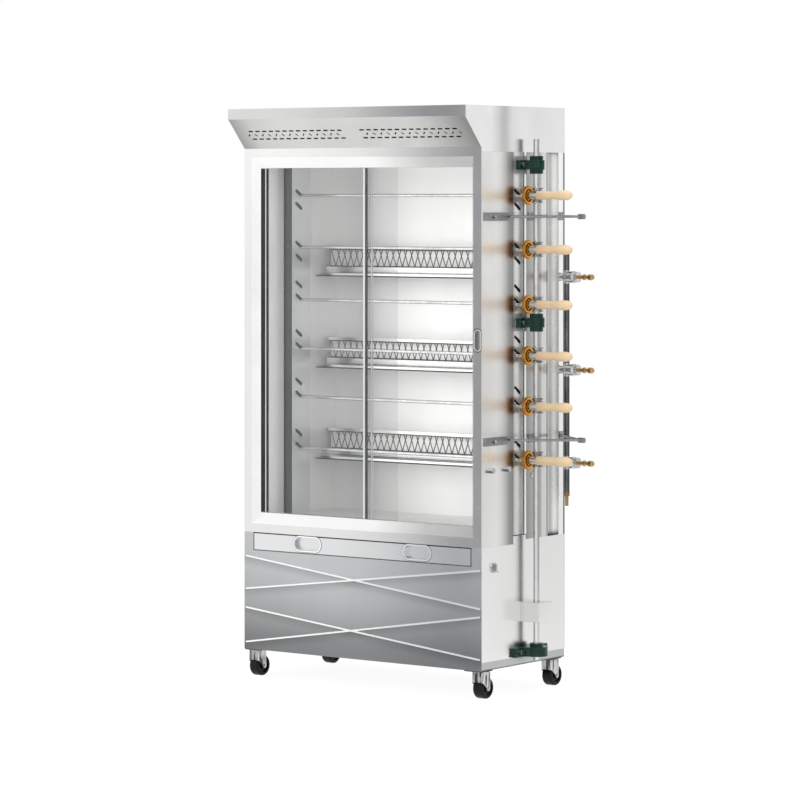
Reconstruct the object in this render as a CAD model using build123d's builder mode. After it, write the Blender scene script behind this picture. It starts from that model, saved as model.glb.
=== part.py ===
from build123d import *
import os
from math import atan2, cos, degrees, hypot, pi, radians, sin, sqrt

os.makedirs("parts", exist_ok=True)

# Cabinet
cabinet_width = 900.0
body_depth = 435.0
caster_height = 85.0
base_height = 362.0
hood_height = 136.0
hood_overhang = 80.0
fascia_height = 32.0
header_rise = 15.0
sheet = 1.5

# Face frame and its opening
column_width = 28.0
sill_height = 27.0
header_height = 27.0
return_depth = 18.0
pull_length = 66.0
pull_width = 27.0
pull_height = 611.0
pull_rim = 4.0
pull_depth = 10.0
rim_proud = 1.2

# Splayed door surround, with two glass tracks
splay_x = 20.0
splay_z = 33.0
splay_depth = 22.0
surround_depth = 58.0
surround_lip = 1.5
glass_thickness = 5.0
track_clearance = 0.5
track_start = 28.0
track_wall = 6.0
track_sill_depth = 8.0
track_header_depth = 14.0
glass_lift = 0.3
glass_engagement = 8.0
door_width = 425.5
door_edge_gap = 0.5
rear_door_edge = 293.0

# Base cabinet and welded frame
angle_width = 25.0
angle_thickness = 3.0
angle_height = 25.0
pad_size = 62.0
pad_drop = 3.0
rib_width = 7.0
rib_proud = 2.0
rib_margin = 5.0
rib_heights = ((0.956, 0.603), (0.611, 0.984), (0.418, 0.098), (0.055, 0.522))
rear_vent_count = 8
rear_vent_pitch = 22.0
rear_vent_length = 60.0
rear_vent_width = 6.0

# Grease drawer
drawer_height = 56.0
drawer_side_margin = 36.0
drawer_gap = 1.5
drawer_face = 3.0
drawer_depth = 330.0
drawer_tray_width = 800.0
drawer_tray_height = 44.7
drawer_tray_rise = 2.8
runner_lift = 0.3
runner_thickness = 3.0
runner_height = 25.0
runner_overlap = 8.0
runner_setback = 1.0
cup_width = 108.0
cup_height = 48.0
cup_rim = 4.0
cup_rise = 30.0
cup_depth = 12.0
cup_xs = (-202.0, 214.0)

# Right-hand casing, front to back
front_panel_depth = 163.5
strip_depth = 64.5
strip_step = 24.0
strip_slit = 3.0
drive_panel_depth = 115.0
drive_panel_step = 10.5
recess_depth = 33.0
recess_length = 58.0
bead_width = 10.0
bead_proud = 3.0
bead_edge = 2.0
bead_notch_gap = 1.0

# Chamber liner
liner_side_gap = 35.0
liner_back_gap = 24.0
liner_floor_rise = 19.0
liner_ceiling_drop = 2.0
flue_length = 500.0
flue_width = 40.0
drain_length = 300.0
drain_width = 24.0
drain_y = 105.0

# Spits and the slots they rest in, from the top down
spit_pitch = 157.6
spit_top_margin = 129.0
spit_bottom_margin = 250.0
spit_seats = (
    (0.0, "upper"),
    (-3.4, "upper"),
    (-9.8, "lower"),
    (-4.2, "lower"),
    (2.4, "lower"),
    (0.0, "lower"),
)
spit_y = 196.0
spit_radius = 5.0
spit_end_gap = 10.0
slot_clearance = 0.3
slot_run = 23.5
slot_rise = 15.0
slot_gap = 40.0
channel_depth = 33.0
channel_front_y = 150.0
channel_width = 90.0
window_margin = 60.0
collar_radius = 8.0
collar_length = 4.0
ferrule_radius = 12.0
ferrule_length = 31.0
tang_radius = 4.0
tang_length = 60.0
handle_length = 122.0
handle_end_radius = 13.0
handle_waist_radius = 11.5
handle_bulge_radius = 14.5

# Worm drive
bearing_height = 30.2
shaft_radius = 8.5
shaft_clearance = 0.05
shaft_top_rise = 39.5
shaft_bottom_rise = 12.5
gear_teeth = 24
gear_tip_radius = 28.0
gear_addendum = 2.0
gear_face = 10.0
gear_root_clearance = 0.8
gear_dish_radius = 21.0
gear_dish_depth = 3.5
gear_hub_radius = 13.0
tooth_root_width = 2.6
tooth_tip_width = 1.6
mesh_depth = 2.6
worm_crest_radius = 19.0
worm_root_clearance = 1.0
worm_height = 45.0
worm_collar_height = 4.0
worm_collar_rise = 0.4
thread_root_width = 2.8
thread_crest_width = 1.6

# Pillow-block bearings
bearing_foot_length = 127.0
bearing_foot_width = 28.0
bearing_foot_thickness = 13.0
bearing_ring_radius = 24.5
bearing_hub_radius = 20.0
bearing_hub_length = 53.0
bearing_bolt_spacing = 95.0
foot_bearing_length = 165.0
foot_bearing_spacing = 118.0
foot_bearing_ring = 34.0
foot_bearing_hub = (14.0, 24.0)
bearing_top_drop = 38.0
bearing_middle_drop = 55.0
bearing_bottom_rise = 39.0
bolt_radius = 5.0
bolt_clearance = 0.3
bolt_head_radius = 8.0
bolt_head_height = 7.0

# Bevel pair and gear motor
bevel_z = 157.5
bevel_teeth = 16
bevel_pitch_radius = 18.0
bevel_face = 8.0
bevel_addendum = 1.6
bevel_dedendum = 1.9
bevel_root_width = 2.6
bevel_tip_width = 1.5
bevel_back = 4.7
motor_shaft_radius = 6.0
motor_shaft_engagement = 22.0
gearbox_size = 80.0
gearbox_length = 50.0
motor_flange = 2.5
motor_flange_margin = 10.0
motor_radius = 38.0
motor_length = 105.0
motor_cap_length = 12.0
cover_reach = 64.0
cover_width = 64.0
cover_bottom_drop = 29.5
cover_top_rise = 29.5
cover_lip = 8.0
cover_hole_gap = 1.5

# Guard stays
stay_top_drop = 63.0
stay_bottom_rise = 61.0
stay_reach = 186.0
stay_apex_y = 265.0
stay_rod_radius = 3.8
stay_front_y = 145.0
stay_rear_inset = 26.0
stay_plate_front = (11.0, 163.0)
stay_plate_middle = (240.0, 279.0)
stay_plate_insets = (33.0, 3.0)
stay_plate_height = 25.0
stay_plate_thickness = 2.0
stay_nut_radius = 8.0
stay_nut_length = 20.0
stay_bolt_y = 64.0
stay_bolt_radius = 6.0
stay_bolt_height = 5.0

# Gas pipework and burners
burner_pitch = 281.0
burner_rise = 229.0
valve_rises = (20.0, 14.0, 7.0)
burner_height = 95.0
burner_end_gap = 13.0
burner_tray_depth = 116.0
burner_lip_height = 11.0
burner_rail_depth = 61.0
burner_rail_top = 31.0
burner_face_depth = 37.0
burner_cap_depth = 51.0
burner_cap_height = 11.0
mesh_thickness = 1.5
mesh_columns = 33
mesh_arm = 18.0
mesh_wire = 2.0
pipe_radius = 8.5
pipe_reach = 20.4
pipe_back_gap = 19.0
pipe_top_rise = 69.0
pipe_bottom_drop = 92.0
stub_radius = 12.5
stub_length = 14.0
valve_radius = 16.0
valve_flare_radius = 18.5
valve_length = 50.0
valve_bore_depth = 12.0
valve_reach = 118.0
spindle_radius = 5.5
spindle_ring_radius = 9.0
feed_radius = 5.0
feed_wall_gap = 1.0
elbow_half = 6.5
feed_clearance = 0.3
feed_inset = 70.0
tail_length = 39.0
tail_collar_length = 9.0
tail_collar_radius = 10.0
tail_radius = 5.5
tail_groove = 0.8
tail_groove_count = 3

# Casters
wheel_radius = 31.5
wheel_width = 34.0
wheel_gap = 0.6
caster_trail = 16.0
caster_inset_x = 25.0
caster_front_y = 28.0
caster_rear_y = 387.0
axle_radius = 4.0
stem_radius = 6.0
stem_gap = 0.3
crown_radius = 20.0
fork_bridge = 4.0
fork_cheek = 2.5
fork_tyre_gap = 2.5
fork_race = 2.0
fork_corner = 6.0
fork_skirt = 30.0

# Latch, plug, studs and cable gland
latch_y = 62.0
latch_drop = 61.0
latch_radius = 16.0
latch_disc = 3.0
latch_spindle_radius = 4.0
latch_grip = (22.0, 5.0, 9.0)
latch_tail = (26.0, 3.0, 1.5)
latch_cam = (26.0, 10.0, 2.0)
stud_ys = (45.0, 127.5)
stud_rise = 226.5
stud_radius = 9.0
stud_height = 13.0
plug_y = 265.0
plug_rise = 199.0
plug_radius = 12.0
plug_height = 3.0
gland_inset_x = 130.0
gland_inset_y = 46.0
gland_plate = 50.0
gland_barrel_radius = 8.0
gland_clearance = 0.3
gland_bore_radius = 4.2
gland_flange_radius = 12.0
gland_flange_height = 5.0
gland_dome_radius = 9.5
gland_dome_height = 12.0

# Hood vents
vent_columns = 14
vent_edge_margin = 63.25
vent_middle_margin = 42.25
vent_length = 18.0
vent_width = 5.5
vent_top_row = 70.0
vent_row_gap = 15.5
cross_length = 12.0
cross_width = 4.0
cross_angle = 45.0

# Levels
body_height = spit_bottom_margin + (len(spit_seats) - 1) * spit_pitch + spit_top_margin
base_top_z = caster_height + base_height
hood_seam_z = base_top_z + body_height
header_top_z = hood_seam_z + header_rise
top_z = hood_seam_z + hood_height
fascia_z = top_z - fascia_height
panel_bottom_z = caster_height + angle_height
opening_bottom_z = base_top_z + sill_height
opening_top_z = header_top_z - header_height
daylight_bottom_z = opening_bottom_z + splay_z
daylight_top_z = opening_top_z - splay_z
floor_z = opening_bottom_z + liner_floor_rise
ceiling_z = opening_top_z - liner_ceiling_drop

# The origin is on the floor, at the middle of the part's box in plan
spit_reach = bearing_height + gear_face / 2 + ferrule_length + handle_length
side_reach = max(spit_reach, stay_reach)
left_x = -(cabinet_width + side_reach) / 2
right_x = left_x + cabinet_width
centre_x = (left_x + right_x) / 2
front_y = hood_overhang - (body_depth + hood_overhang) / 2
back_y = front_y + body_depth
shell_left = left_x + sheet
shell_right = right_x - sheet
shell_front = front_y + sheet
shell_back = back_y - sheet

# Face frame opening, daylight and liner limits
opening_left = left_x + column_width
opening_right = right_x - column_width
daylight_left = opening_left + splay_x
daylight_right = opening_right - splay_x
surround_back = front_y + surround_depth
liner_left = left_x + liner_side_gap
liner_right = right_x - liner_side_gap
liner_back = back_y - liner_back_gap

# Worm gear geometry
gear_pitch_radius = gear_tip_radius - gear_addendum
gear_root_radius = gear_tip_radius - mesh_depth - gear_root_clearance
worm_root_radius = worm_crest_radius - mesh_depth - worm_root_clearance
centre_distance = worm_crest_radius + gear_tip_radius - mesh_depth
worm_lead = 2 * pi * gear_pitch_radius / gear_teeth
shaft_x = right_x + bearing_height
spit_axis_y = front_y + spit_y
shaft_y = spit_axis_y + centre_distance
shaft_top_z = hood_seam_z + shaft_top_rise
shaft_bottom_z = caster_height + shaft_bottom_rise
bevel_apex_z = caster_height + bevel_z

spit_levels = [
    base_top_z + spit_bottom_margin + (len(spit_seats) - 1 - index) * spit_pitch + trim
    for index, (trim, seat) in enumerate(spit_seats)
]
slot_levels = []
for level, (trim, seat) in zip(spit_levels, spit_seats):
    other = level - slot_gap if seat == "upper" else level + slot_gap
    slot_levels += [level, other]
slot_width = 2 * (spit_radius + slot_clearance)
slot_length = hypot(slot_run, slot_rise)
slot_angle = -degrees(atan2(slot_rise, slot_run))
slot_centre_y = spit_axis_y - slot_run / 2

bearing_levels = (
    hood_seam_z - bearing_top_drop,
    spit_levels[len(spit_levels) // 2 - 1] - bearing_middle_drop,
    caster_height + bearing_bottom_rise,
)
valve_levels = [base_top_z + burner_rise + step * burner_pitch for step in range(len(valve_rises))]
pipe_x = right_x + pipe_reach
pipe_y = back_y - pipe_back_gap
feed_y = liner_back + sheet + feed_wall_gap + feed_radius


def span_box(x_range, y_range, z_range, mode=Mode.ADD):
    """A box between two limits on each axis."""
    ranges = (x_range, y_range, z_range)
    with Locations(tuple((low + high) / 2 for low, high in ranges)):
        Box(*(high - low for low, high in ranges), mode=mode)


def rod_x(x_range, y, z, radius, mode=Mode.ADD):
    """A cylinder along X."""
    with Locations(Location((x_range[0], y, z), (0, 90, 0))):
        Cylinder(
            radius,
            x_range[1] - x_range[0],
            align=(Align.CENTER, Align.CENTER, Align.MIN),
            mode=mode,
        )


def rod_z(x, y, z_range, radius, mode=Mode.ADD):
    """A cylinder along Z."""
    with Locations((x, y, z_range[0])):
        Cylinder(
            radius,
            z_range[1] - z_range[0],
            align=(Align.CENTER, Align.CENTER, Align.MIN),
            mode=mode,
        )


def write_node(builder, node):
    """Label the finished piece and write its file."""
    builder.part.label = node
    export_step(builder.part, f"parts/{node}.step")


# Welded base frame: angle ring, posts, caster pads, drawer runners and gland plate
post_size = column_width - 2 * sheet
post_top_z = floor_z - sheet
caster_xs = {"left": left_x + caster_inset_x, "right": right_x - caster_inset_x}
caster_ys = {"front": front_y + caster_front_y, "rear": front_y + caster_rear_y}
pad_bottom_z = caster_height - pad_drop
pad_top_z = caster_height + angle_thickness
drawer_bottom_z = base_top_z - drawer_height
face_bottom_z = drawer_bottom_z + drawer_gap
face_top_z = base_top_z - drawer_gap
tray_bottom_z = face_bottom_z + drawer_tray_rise
runner_top_z = tray_bottom_z - runner_lift
tray_left = centre_x - drawer_tray_width / 2
tray_right = centre_x + drawer_tray_width / 2
runner_front_y = front_y + drawer_face + runner_setback
gland_x = right_x - gland_inset_x
gland_y = back_y - gland_inset_y

with BuildPart() as base_frame:
    span_box((shell_left, shell_right), (shell_front, shell_back), (caster_height, panel_bottom_z))
    span_box(
        (shell_left + angle_thickness, shell_right - angle_thickness),
        (shell_front + angle_thickness, shell_back - angle_thickness),
        (caster_height + angle_thickness, panel_bottom_z),
        Mode.SUBTRACT,
    )
    span_box(
        (shell_left + angle_width, shell_right - angle_width),
        (shell_front + angle_width, shell_back - angle_width),
        (caster_height, panel_bottom_z),
        Mode.SUBTRACT,
    )
    for post_x in (shell_left + post_size / 2, shell_right - post_size / 2):
        for post_y in (shell_front + post_size / 2, shell_back - post_size / 2):
            span_box(
                (post_x - post_size / 2, post_x + post_size / 2),
                (post_y - post_size / 2, post_y + post_size / 2),
                (pad_top_z, post_top_z),
            )
    for pad_x in caster_xs.values():
        for pad_y in caster_ys.values():
            side = 1 if pad_x > centre_x else -1
            outer_x = shell_right if side > 0 else shell_left
            pad_range = sorted((outer_x, outer_x - side * pad_size))
            span_box(
                pad_range,
                (max(pad_y - pad_size / 2, shell_front), min(pad_y + pad_size / 2, shell_back)),
                (pad_bottom_z, pad_top_z),
            )
    for side, outer_x in ((-1, shell_left + post_size), (1, shell_right - post_size)):
        tray_edge = centre_x + side * (drawer_tray_width / 2 - runner_overlap)
        span_box(
            sorted((outer_x, tray_edge)),
            (runner_front_y, shell_back),
            (runner_top_z - runner_thickness, runner_top_z),
        )
        span_box(
            sorted((outer_x, outer_x - side * runner_thickness)),
            (runner_front_y, shell_back),
            (runner_top_z - runner_thickness, runner_top_z - runner_thickness + runner_height),
        )
    span_box(
        (gland_x - gland_plate / 2, gland_x + gland_plate / 2),
        (gland_y - gland_plate / 2, shell_back),
        (caster_height, pad_top_z),
    )
    for pad_x in caster_xs.values():
        for pad_y in caster_ys.values():
            rod_z(
                pad_x,
                pad_y,
                (pad_bottom_z, pad_top_z),
                stem_radius + shaft_clearance,
                Mode.SUBTRACT,
            )
    rod_z(
        gland_x,
        gland_y,
        (caster_height, pad_top_z),
        gland_barrel_radius + gland_clearance,
        Mode.SUBTRACT,
    )
write_node(base_frame, "base_frame")

# Base front panel: drawer cut-out at the top, four pressed ribs that cross
cutout_left = left_x + drawer_side_margin
cutout_right = right_x - drawer_side_margin
rib_left = left_x + rib_margin
rib_right = right_x - rib_margin
rib_range = drawer_bottom_z - caster_height - 2 * rib_margin

with BuildPart() as base_front_panel:
    span_box((left_x, right_x), (front_y, shell_front), (caster_height, base_top_z))
    span_box(
        (cutout_left, cutout_right),
        (front_y, shell_front),
        (drawer_bottom_z, base_top_z),
        Mode.SUBTRACT,
    )
    for left_share, right_share in rib_heights:
        start_z = caster_height + rib_margin + left_share * rib_range
        end_z = caster_height + rib_margin + right_share * rib_range
        with BuildSketch(Plane.XZ.offset(-front_y)) as rib_sketch:
            with Locations(((rib_left + rib_right) / 2, (start_z + end_z) / 2)):
                SlotOverall(
                    hypot(rib_right - rib_left, end_z - start_z),
                    rib_width,
                    rotation=degrees(atan2(end_z - start_z, rib_right - rib_left)),
                )
        extrude(amount=rib_proud, taper=35)
write_node(base_front_panel, "base_front_panel")

# Base right panel, stepped along its top edge
strip_front_y = front_y + front_panel_depth
strip_back_y = strip_front_y + strip_depth
base_side_top_z = base_top_z + strip_step
drive_bottom_z = base_top_z + drive_panel_step
latch_axis_y = front_y + latch_y
latch_z = base_top_z - latch_drop

with BuildPart() as base_right_panel:
    span_box((shell_right, right_x), (shell_front, shell_back), (panel_bottom_z, base_top_z))
    span_box((shell_right, right_x), (strip_front_y, strip_back_y), (base_top_z, base_side_top_z))
    span_box((shell_right, right_x), (strip_back_y, shell_back), (base_top_z, drive_bottom_z))
    rod_x(
        (shell_right, right_x),
        shaft_y,
        bevel_apex_z,
        motor_shaft_radius + shaft_clearance,
        Mode.SUBTRACT,
    )
    rod_x(
        (shell_right, right_x),
        latch_axis_y,
        latch_z,
        latch_spindle_radius + shaft_clearance,
        Mode.SUBTRACT,
    )
write_node(base_right_panel, "base_right_panel")

# Left side panel and rear cover
with BuildPart() as left_side_panel:
    span_box((left_x, shell_left), (shell_front, shell_back), (panel_bottom_z, hood_seam_z))
write_node(left_side_panel, "left_side_panel")

rear_vent_x = right_x - gearbox_length - motor_length / 2
with BuildPart() as rear_cover:
    span_box((left_x, right_x), (shell_back, back_y), (panel_bottom_z, hood_seam_z))
    with BuildSketch(Plane.XZ.offset(-back_y)):
        with Locations((rear_vent_x, bevel_apex_z)):
            with GridLocations(rear_vent_pitch, rear_vent_pitch, rear_vent_count, 1):
                SlotOverall(rear_vent_length, rear_vent_width, rotation=90)
    extrude(amount=sheet, both=True, mode=Mode.SUBTRACT)
write_node(rear_cover, "rear_cover")

# Right front panel
with BuildPart() as right_front_panel:
    span_box((shell_right, right_x), (shell_front, strip_front_y), (base_top_z, hood_seam_z))
write_node(right_front_panel, "right_front_panel")

# Spit strip: slanted slots in pairs, and a folded bead notched under the bearing feet
strip_bottom_z = base_side_top_z + strip_slit
bead_back_y = strip_back_y - bead_edge
with BuildPart() as spit_strip:
    span_box((shell_right, right_x), (strip_front_y, strip_back_y), (strip_bottom_z, hood_seam_z))
    span_box(
        (right_x, right_x + bead_proud),
        (bead_back_y - bead_width, bead_back_y),
        (strip_bottom_z, hood_seam_z),
    )
    for bearing_z in bearing_levels:
        notch = bearing_foot_width / 2 + bead_notch_gap
        span_box(
            (right_x, right_x + bead_proud),
            (bead_back_y - bead_width, bead_back_y),
            (bearing_z - notch, bearing_z + notch),
            Mode.SUBTRACT,
        )
    with BuildSketch(Plane.YZ.offset(shell_right)):
        with Locations([(slot_centre_y, level + slot_rise / 2) for level in slot_levels]):
            SlotCenterToCenter(slot_length, slot_width, rotation=slot_angle)
    extrude(amount=2 * sheet, mode=Mode.SUBTRACT)
write_node(spit_strip, "spit_strip")

# Drive side panel: flat plate, then the recessed channel behind the gas pipe
recess_y = strip_back_y + drive_panel_depth
recess_end_y = recess_y + recess_length
recess_x = right_x - recess_depth
with BuildPart() as drive_side_panel:
    span_box((shell_right, right_x), (strip_back_y, recess_y + sheet), (drive_bottom_z, hood_seam_z))
    span_box((recess_x, right_x), (recess_y, recess_y + sheet), (drive_bottom_z, hood_seam_z))
    span_box(
        (recess_x, recess_x + sheet),
        (recess_y, recess_end_y + sheet),
        (drive_bottom_z, hood_seam_z),
    )
    span_box(
        (recess_x, right_x),
        (recess_end_y, recess_end_y + sheet),
        (drive_bottom_z, hood_seam_z),
    )
    span_box((shell_right, right_x), (recess_end_y, shell_back), (drive_bottom_z, hood_seam_z))
    for valve_z in valve_levels:
        rod_x(
            (shell_right, right_x),
            feed_y,
            valve_z,
            feed_radius + feed_clearance,
            Mode.SUBTRACT,
        )
write_node(drive_side_panel, "drive_side_panel")

# Face frame: two columns, sill and header, with a flush pull in the right column
pull_x = right_x - column_width / 2
pull_z = base_top_z + pull_height
cup_pull_width = pull_width - 2 * pull_rim
with BuildPart() as front_frame:
    span_box((left_x, right_x), (front_y, shell_front), (base_top_z, header_top_z))
    for side_x in ((shell_left, shell_left + sheet), (shell_right - sheet, shell_right)):
        span_box(side_x, (shell_front, front_y + return_depth), (post_top_z, hood_seam_z))
    span_box(
        (opening_left - sheet, opening_right + sheet),
        (front_y, front_y + return_depth),
        (opening_bottom_z - sheet, opening_top_z + sheet),
    )
    span_box(
        (opening_left, opening_right),
        (front_y, front_y + return_depth),
        (opening_bottom_z, opening_top_z),
        Mode.SUBTRACT,
    )
    with BuildSketch(Plane.XZ.offset(-front_y)):
        with Locations((pull_x, pull_z)):
            SlotOverall(pull_length, pull_width, rotation=90)
    extrude(amount=rim_proud, taper=30)
    with BuildSketch(Plane.XZ.offset(-shell_front)):
        with Locations((pull_x, pull_z)):
            SlotOverall(
                pull_length - 2 * pull_rim + 2 * sheet,
                cup_pull_width + 2 * sheet,
                rotation=90,
            )
    extrude(amount=-pull_depth)
    with BuildSketch(Plane.XZ.offset(rim_proud - front_y)):
        with Locations((pull_x, pull_z)):
            SlotOverall(pull_length - 2 * pull_rim, cup_pull_width, rotation=90)
    extrude(amount=-pull_depth - rim_proud, mode=Mode.SUBTRACT)
write_node(front_frame, "front_frame")

# Splayed door surround with two tracks for the sliding glass
track_width = glass_thickness + 2 * track_clearance
track_front_y = front_y + track_start
track_rear_y = track_front_y + track_width + track_wall
track_floor_z = daylight_bottom_z - track_sill_depth
track_roof_z = daylight_top_z + track_header_depth
opening_mid_z = (opening_bottom_z + opening_top_z) / 2
hollow_front_y = front_y + splay_depth + surround_lip
hollow_back_y = surround_back - surround_lip
with BuildPart() as door_frame:
    span_box(
        (opening_left, opening_right),
        (front_y, surround_back),
        (opening_bottom_z, opening_top_z),
    )
    with BuildSketch(Plane.XZ.offset(-front_y)):
        with Locations((centre_x, opening_mid_z)):
            Rectangle(
                opening_right - opening_left - 2 * surround_lip,
                opening_top_z - opening_bottom_z - 2 * surround_lip,
            )
    with BuildSketch(Plane.XZ.offset(-front_y - splay_depth)):
        with Locations((centre_x, opening_mid_z)):
            Rectangle(daylight_right - daylight_left, daylight_top_z - daylight_bottom_z)
    loft(mode=Mode.SUBTRACT)
    span_box(
        (daylight_left, daylight_right),
        (front_y + splay_depth, surround_back),
        (daylight_bottom_z, daylight_top_z),
        Mode.SUBTRACT,
    )
    for track_y in (track_front_y, track_rear_y):
        span_box(
            (daylight_left, daylight_right),
            (track_y, track_y + track_width),
            (track_floor_z, track_roof_z),
            Mode.SUBTRACT,
        )
    for side_x in (
        (opening_left, daylight_left - surround_lip),
        (daylight_right + surround_lip, opening_right),
    ):
        span_box(
            side_x,
            (hollow_front_y, hollow_back_y),
            (daylight_bottom_z, daylight_top_z),
            Mode.SUBTRACT,
        )
    span_box(
        (daylight_left, daylight_right),
        (hollow_front_y, hollow_back_y),
        (opening_bottom_z, track_floor_z - surround_lip),
        Mode.SUBTRACT,
    )
    span_box(
        (daylight_left, daylight_right),
        (hollow_front_y, hollow_back_y),
        (track_roof_z + surround_lip, opening_top_z),
        Mode.SUBTRACT,
    )
write_node(door_frame, "door_frame")

# Sliding glass doors, shown slid to the left
glass_bottom_z = track_floor_z + glass_lift
glass_top_z = daylight_top_z + glass_engagement
front_door_left = daylight_left + door_edge_gap
rear_door_right = daylight_right - rear_door_edge
with BuildPart() as front_door:
    span_box(
        (front_door_left, front_door_left + door_width),
        (track_front_y + track_clearance, track_front_y + track_clearance + glass_thickness),
        (glass_bottom_z, glass_top_z),
    )
    chamfer(front_door.edges().filter_by(Axis.Z), glass_thickness / 8)
write_node(front_door, "front_door")

with BuildPart() as rear_door:
    span_box(
        (rear_door_right - door_width, rear_door_right),
        (track_rear_y + track_clearance, track_rear_y + track_clearance + glass_thickness),
        (glass_bottom_z, glass_top_z),
    )
    chamfer(rear_door.edges().filter_by(Axis.Z), glass_thickness / 8)
write_node(rear_door, "rear_door")

# Chamber liner, open at the front; its right wall has a window for the spits
window_bottom_z = min(slot_levels) - window_margin
window_top_z = max(slot_levels) + window_margin
channel_front = front_y + channel_front_y
channel_back = channel_front + channel_width
feed_x = liner_right - feed_inset
with BuildPart() as chamber_liner:
    span_box(
        (liner_left - sheet, liner_right + sheet),
        (surround_back, liner_back + sheet),
        (floor_z - sheet, ceiling_z + sheet),
    )
    span_box(
        (liner_left, liner_right),
        (surround_back, liner_back),
        (floor_z, ceiling_z),
        Mode.SUBTRACT,
    )
    span_box(
        (liner_right, liner_right + sheet),
        (channel_front, channel_back),
        (window_bottom_z, window_top_z),
        Mode.SUBTRACT,
    )
    with BuildSketch(Plane.XY.offset(floor_z - sheet)):
        with Locations((centre_x, front_y + drain_y)):
            SlotOverall(drain_length, drain_width)
    extrude(amount=sheet, mode=Mode.SUBTRACT)
    with BuildSketch(Plane.XY.offset(ceiling_z)):
        with Locations((centre_x, (surround_back + liner_back) / 2)):
            Rectangle(flue_length, flue_width)
    extrude(amount=sheet, mode=Mode.SUBTRACT)
    with BuildSketch(Plane.XZ.offset(-liner_back)):
        with Locations([(feed_x, valve_z) for valve_z in valve_levels]):
            Circle(feed_radius + feed_clearance)
    extrude(amount=-sheet, mode=Mode.SUBTRACT)
write_node(chamber_liner, "chamber_liner")

# Slotted channel on the left wall, which holds the free ends of the spits
channel_face_x = liner_left + channel_depth
with BuildPart() as left_spit_channel:
    span_box((liner_left, channel_face_x), (channel_front, channel_back), (floor_z, ceiling_z))
    span_box(
        (liner_left, channel_face_x - sheet),
        (channel_front + sheet, channel_back - sheet),
        (floor_z, ceiling_z),
        Mode.SUBTRACT,
    )
    with BuildSketch(Plane.YZ.offset(channel_face_x - sheet)):
        with Locations([(slot_centre_y, level + slot_rise / 2) for level in slot_levels]):
            SlotCenterToCenter(slot_length, slot_width, rotation=slot_angle)
    extrude(amount=sheet, mode=Mode.SUBTRACT)
write_node(left_spit_channel, "left_spit_channel")

# Burner housings: drip tray with a front lip, lower rail, burner block, upper cap
burner_left = liner_left + burner_end_gap
burner_right = liner_right - burner_end_gap
burner_bottoms = [valve_z - rise for valve_z, rise in zip(valve_levels, valve_rises)]
burner_face_y = liner_back - burner_face_depth
with BuildPart() as burner_housings:
    for bottom_z in burner_bottoms:
        tray_y = liner_back - burner_tray_depth
        rail_y = liner_back - burner_rail_depth
        cap_y = liner_back - burner_cap_depth
        block_top_z = bottom_z + burner_height
        with BuildSketch(Plane.YZ.offset(burner_left)):
            Polygon(
                (tray_y, bottom_z),
                (liner_back, bottom_z),
                (liner_back, block_top_z),
                (cap_y, block_top_z),
                (cap_y, block_top_z - burner_cap_height),
                (burner_face_y, block_top_z - burner_cap_height),
                (burner_face_y, bottom_z + burner_rail_top),
                (rail_y, bottom_z + burner_rail_top),
                (rail_y, bottom_z + sheet),
                (tray_y + sheet, bottom_z + sheet),
                (tray_y + sheet, bottom_z + burner_lip_height),
                (tray_y, bottom_z + burner_lip_height),
                align=None,
            )
        extrude(amount=burner_right - burner_left)
write_node(burner_housings, "burner_housings")

# Burner guards: a lattice of crossing V-shaped bars between two thin rails
mesh_height = burner_height - burner_cap_height - burner_rail_top
mesh_length = burner_right - burner_left
mesh_half_wire = mesh_wire / 2 * hypot(mesh_arm, mesh_height) / mesh_height
mesh_pitch = (mesh_length - 2 * (mesh_arm + mesh_half_wire)) / (mesh_columns - 1)
mesh_crotch = mesh_height * mesh_half_wire / mesh_arm
with BuildPart() as burner_meshes:
    for bottom_z in burner_bottoms:
        with BuildSketch(Plane.XZ.offset(-burner_face_y)):
            with Locations((centre_x, bottom_z + burner_rail_top + mesh_height / 2)):
                with GridLocations(mesh_pitch, mesh_pitch, mesh_columns, 1):
                    Polygon(
                        (-mesh_arm - mesh_half_wire, mesh_height / 2),
                        (-mesh_half_wire, -mesh_height / 2),
                        (mesh_half_wire, -mesh_height / 2),
                        (mesh_arm + mesh_half_wire, mesh_height / 2),
                        (mesh_arm - mesh_half_wire, mesh_height / 2),
                        (0, mesh_crotch - mesh_height / 2),
                        (mesh_half_wire - mesh_arm, mesh_height / 2),
                        align=None,
                    )
            with Locations((centre_x, bottom_z + burner_rail_top + mesh_height / 2)):
                with GridLocations(mesh_length, mesh_height - mesh_wire, 1, 2):
                    Rectangle(mesh_length, mesh_wire)
        extrude(amount=mesh_thickness)
write_node(burner_meshes, "burner_meshes")

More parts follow.
